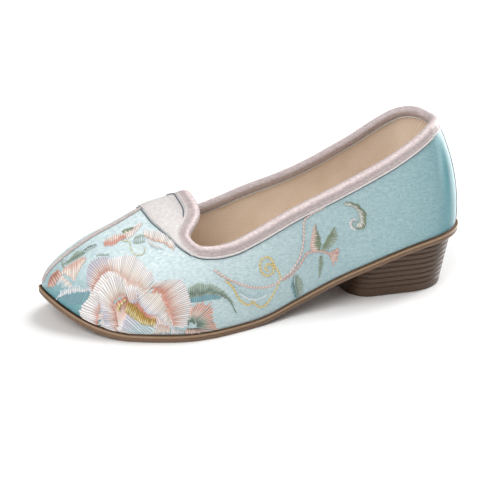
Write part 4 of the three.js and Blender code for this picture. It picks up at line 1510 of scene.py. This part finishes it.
class PhotoChart:
    """Finds the place on the shoe's left side that a pixel of the photograph shows."""

    def __init__(self, studio: "Studio", cloth: Cloth) -> None:
        """Projects a net of places on the left side, to start each search from."""
        self.studio = studio
        self.cloth = cloth
        share, around = np.meshgrid(np.linspace(0, 1, 201), np.linspace(0, 1, 101), indexing="ij")
        self.places = np.stack([share, around], -1)
        points = cloth.last.place(share, around)
        self.net = studio.project(points)
        self.near = points @ studio.axes()[2]

    def find(self, pixel: tuple[float, float]) -> tuple[float, float]:
        """Millimetres along the cloth and down it from the ridge, for one pixel."""
        gap = np.hypot(*(self.net - pixel).transpose(2, 0, 1))
        close = np.argwhere(gap < gap.min() + 2.5)
        start = max(close, key=lambda at: self.near[tuple(at)] - gap[tuple(at)])
        place = self.places[tuple(start)].copy()
        step = 1e-4
        for _ in range(8):
            here = self.studio.project(self.cloth.last.place(*place))
            slopes = [(self.studio.project(self.cloth.last.place(*(place + nudge))) - here) / step
                      for nudge in ((step, 0), (0, step))]
            move = np.linalg.lstsq(np.array(slopes).T, np.array(pixel) - here, rcond=1e-3)[0]
            place = np.clip(place + np.clip(move, -0.03, 0.03), 0.002, 0.998)
        table = self.cloth.table[1][round(place[0] * (self.cloth.STATIONS - 1))]
        down = np.interp(place[1], table, np.arange(len(table)) * self.cloth.STEP)
        return place[0] * self.cloth.last.plan_length, float(down)

    def line(self, pixels: Pixels) -> Callable[[np.ndarray], np.ndarray]:
        """A smooth line through pixels, as cloth places for steps from 0 to 1 along it."""
        knots = np.array([self.find(pixel) for pixel in pixels])
        ends = np.vstack([2 * knots[0] - knots[1], knots, 2 * knots[-1] - knots[-2]])
        t = np.linspace(0, 1, 12, endpoint=False)[:, None]
        parts = []
        for p0, p1, p2, p3 in zip(ends, ends[1:], ends[2:], ends[3:]):
            bend = (2 * p0 - 5 * p1 + 4 * p2 - p3) * t**2 + (3 * p1 - p0 - 3 * p2 + p3) * t**3
            parts.append(0.5 * (2 * p1 + (p2 - p0) * t + bend))
        curve = np.vstack([*parts, knots[-1:]])
        run = np.concatenate([[0], np.linalg.norm(np.diff(curve, axis=0), axis=1).cumsum()])
        size = float(run[-1])

        def at(u: np.ndarray) -> np.ndarray:
            """Cloth places for steps along the line."""
            return np.stack([np.interp(u * size, run, curve[:, k]) for k in (0, 1)], -1)

        at.size = size
        return at


class Embroiderer:
    """Builds the embroidery's pieces on the cloth."""

    ROWS = 9
    PER_THREAD = 4

    def __init__(self, chart: PhotoChart) -> None:
        """Keeps the chart that tells where the photograph's pixels lie."""
        self.chart = chart

    def patch(self, plan: Stitches) -> bpy.types.Object:
        """Lays one patch of threads, each a low ridge with its own length and tone."""
        root, rim = self.chart.line(plan.root), self.chart.line(plan.rim)
        count = max(3, round((root.size + 2 * rim.size) / 3 / plan.thread))
        rng = np.random.default_rng(sum(map(ord, plan.name)))
        long = rng.uniform(-plan.ragged, plan.ragged, count + 1)
        short = rng.uniform(-plan.ragged, plan.ragged, count + 1) * 0.6
        light = rng.uniform(0.84, 1.08, count + 1)
        early = rng.uniform(-0.16, 0.16, count + 1)
        tones = np.array([linear(tone)[:3] for tone in plan.tones])

        def place(u: np.ndarray, v: np.ndarray) -> np.ndarray:
            """Points of the piece for u and v."""
            thread = np.minimum((u * count).astype(int), count)
            phase = u * count - thread
            valley = (np.abs(phase) < 1e-6) | (np.abs(phase - 1) < 1e-6)
            a, b = root(u), rim(u)
            reach = np.linalg.norm(b - a, axis=1) + 1e-6
            tip = np.where(valley, -0.35, long[thread])
            foot = np.where(valley, 0.2, short[thread])
            w = (v * (reach + tip - foot) + foot) / reach
            spot = a + (b - a) * w[:, None]
            round_top = np.sin(np.pi * np.clip(phase, 0, 1))
            ends = np.minimum(1, np.minimum(v, 1 - v) * 7 + 0.1)
            lift = plan.base * ends + plan.height * round_top * ends ** 0.5
            return CLOTH.lay(spot[:, 0], spot[:, 1], lift)

        def tone(u: np.ndarray, v: np.ndarray) -> np.ndarray:
            """Linear colours of the piece for u and v: each thread's dyes from root to rim, with painted
            shade in the gaps between threads.
            """
            thread = np.minimum((u * count).astype(int), count)
            phase = np.clip(u * count - thread, 0, 1)
            w = np.clip(v + early[thread] * np.sin(np.pi * v), 0, 1)[:, None]
            first = tones[0] + (tones[1] - tones[0]) * np.clip(w * 3.2, 0, 1)
            both = first + (tones[2] - first) * np.clip(w * 2.4 - 0.7, 0, 1)
            shade = light[thread] * (0.42 + 0.58 * np.sin(np.pi * phase) ** 0.7)
            return np.column_stack([both * shade[:, None], np.ones(len(u))])

        piece = chart_grid(plan.name, count * self.PER_THREAD, self.ROWS, place, tone)
        return self.own(piece)

    def cord(self, plan: Cord) -> bpy.types.Object:
        """Lays one couched cord, its strands wound round each other."""
        line = self.chart.line(plan.line)
        steps = max(12, round(line.size / 0.5))
        first, second = (np.array(linear(tone)[:3]) for tone in plan.tones)

        def place(u: np.ndarray, v: np.ndarray) -> np.ndarray:
            """Points of the piece for u and v."""
            here, ahead = line(u), line(np.clip(u + 0.002, 0, 1)) - line(np.clip(u - 0.002, 0, 1))
            along = ahead / (np.linalg.norm(ahead, axis=1, keepdims=True) + 1e-9)
            side = np.stack([-along[:, 1], along[:, 0]], -1)
            wind = 2 * np.pi * (u * line.size / plan.pitch + v)
            ends = np.minimum(1, np.minimum(u, 1 - u) * line.size / 1.5 + 0.05)
            radius = plan.radius * (1 + 0.22 * np.cos(2 * wind)) * ends
            turn = 2 * np.pi * v
            spot = here + side * (radius * np.cos(turn))[:, None]
            return CLOTH.lay(spot[:, 0], spot[:, 1], plan.base + radius * np.sin(turn))

        def tone(u: np.ndarray, v: np.ndarray) -> np.ndarray:
            """Linear colours of the piece for u and v."""
            mix = (0.5 + 0.5 * np.cos(2 * np.pi * (u * line.size / plan.pitch + v)))[:, None]
            return np.column_stack([first + (second - first) * mix, np.ones(len(u))])

        piece = chart_grid(plan.name, steps, 8, place, tone, loop_v=True)
        return self.own(piece)

    def own(self, piece: bpy.types.Object) -> bpy.types.Object:
        """Gives a piece the floss."""
        dress(piece, Finish.FLOSS.material())
        return piece

    def build(self) -> list[bpy.types.Object]:
        """Lays the whole design."""
        patches = [self.patch(plan) for plan in (*PEONY, *TOE_SPRAY, *BLOSSOM, *LEAVES)]
        return patches + [self.cord(plan) for plan in CORDS]


# Camera, light and floor

@dataclass(frozen=True)
class Studio:
    """The photo's view of the shoe, with soft light on a pale floor."""

    azimuth: float = 23.658
    elevation: float = 19.497
    roll: float = 2.782
    distance: float = 818.8
    pixels_per_mm: float = 1.914
    centre_x: float = 256.585
    centre_y: float = 225.648
    aim: tuple[float, float, float] = (117.5, 0.0, 39.0)

    def axes(self) -> tuple[np.ndarray, np.ndarray, np.ndarray]:
        """The camera's right, up and backward directions."""
        az, el, roll = (math.radians(value) for value in (self.azimuth, self.elevation, self.roll))
        right = np.array([-math.cos(az), math.sin(az), 0])
        level = np.array([math.sin(az), math.cos(az), 0])
        up = np.array([0, 0, math.cos(el)]) - level * math.sin(el)
        back = np.array([0, 0, math.sin(el)]) + level * math.cos(el)
        rolled_right = right * math.cos(roll) + up * math.sin(roll)
        rolled_up = up * math.cos(roll) - right * math.sin(roll)
        return rolled_right, rolled_up, back

    def project(self, points: np.ndarray) -> np.ndarray:
        """Pixels of the photograph at which points of the last show, in its own millimetres."""
        x_axis, y_axis, back = self.axes()
        rel = np.asarray(points) - np.array(self.aim)
        scale = self.pixels_per_mm * self.distance / (self.distance - rel @ back)
        return np.stack([self.centre_x + rel @ x_axis * scale, self.centre_y - rel @ y_axis * scale], -1)

    def camera(self) -> None:
        """Sets the camera at the photo's angle."""
        x_axis, y_axis, back = (Vector(axis) for axis in self.axes())
        data = bpy.data.cameras.new("photo_camera")
        data.sensor_width = SENSOR
        data.lens = self.pixels_per_mm * self.distance * SENSOR / PHOTO
        data.shift_x = (PHOTO / 2 - self.centre_x) / PHOTO
        data.shift_y = (self.centre_y - PHOTO / 2) / PHOTO
        data.clip_start = 0.05
        data.clip_end = 50
        eye = bpy.data.objects.new("photo_camera", data)
        matrix = Matrix((x_axis, y_axis, back)).transposed().to_4x4()
        matrix.translation = (Vector(self.aim) + SHIFT + back * self.distance) * MM
        eye.matrix_world = matrix
        bpy.context.scene.collection.objects.link(eye)
        bpy.context.scene.camera = eye

    def lamp(self, name: str, where: tuple[float, float, float], size: float, power: float) -> None:
        """A soft square lamp that points at the shoe, its place in metres."""
        data = bpy.data.lights.new(name, "AREA")
        data.size = size
        data.energy = power
        lamp = bpy.data.objects.new(name, data)
        spot = Vector(where)
        lamp.location = spot
        lamp.rotation_euler = (Vector((0, 0, 0.04)) - spot).to_track_quat("-Z", "Y").to_euler()
        bpy.context.scene.collection.objects.link(lamp)

    def sun(self, name: str, where: tuple[float, float, float], spread: float, power: float) -> None:
        """A distant soft light from a direction, its width given in degrees."""
        data = bpy.data.lights.new(name, "SUN")
        data.angle = math.radians(spread)
        data.energy = power
        lamp = bpy.data.objects.new(name, data)
        lamp.rotation_euler = (-Vector(where)).to_track_quat("-Z", "Y").to_euler()
        bpy.context.scene.collection.objects.link(lamp)

    def floor(self) -> None:
        """A wide white table top."""
        bm = bmesh.new()
        bmesh.ops.create_grid(bm, x_segments=1, y_segments=1, size=6.0)
        mesh = bpy.data.meshes.new("table_top")
        bm.to_mesh(mesh)
        bm.free()
        table = bpy.data.objects.new("table_top", mesh)
        bpy.context.scene.collection.objects.link(table)
        paper, _, shader = start_material("white_backdrop_paper")
        shader.inputs["Base Color"].default_value = linear("#fbfbfb")
        shader.inputs["Roughness"].default_value = 0.45
        table.data.materials.append(paper)

    def light(self) -> None:
        """The lamps and the bright surround."""
        world = bpy.data.worlds.new("white_surround")
        bpy.context.scene.world = world
        world.use_nodes = True
        background = world.node_tree.nodes["Background"]
        background.inputs["Color"].default_value = linear("#ffffff")
        background.inputs["Strength"].default_value = 0.38
        self.sun("overhead_light", (-0.35, -0.12, 0.92), 30, 1.5)
        self.sun("front_light", (0.68, 0.5, 0.72), 40, 1.85)
        self.lamp("heel_light", (-0.9, -0.34, 0.22), 0.25, 7)
        bpy.context.scene.view_settings.view_transform = "Standard"

    def build(self) -> None:
        """Sets the whole view."""
        self.camera()
        self.floor()
        self.light()


def main() -> None:
    """Builds the studio and the shoe's pieces in order."""
    logging.basicConfig(level=logging.INFO, format="%(message)s")
    studio = Studio()
    studio.build()
    chart = PhotoChart(studio, CLOTH)
    made = [SatinUpper().build(), *CollarBinding().build(), *VampPanel().build(), ToePiping().build(),
            *BackStrip().build(), *SoleUnit().build(), *Embroiderer(chart).build()]
    for piece in made:
        LOG.info("%s: %d faces", piece.name, len(piece.data.polygons))


if __name__ == "__main__":
    main()
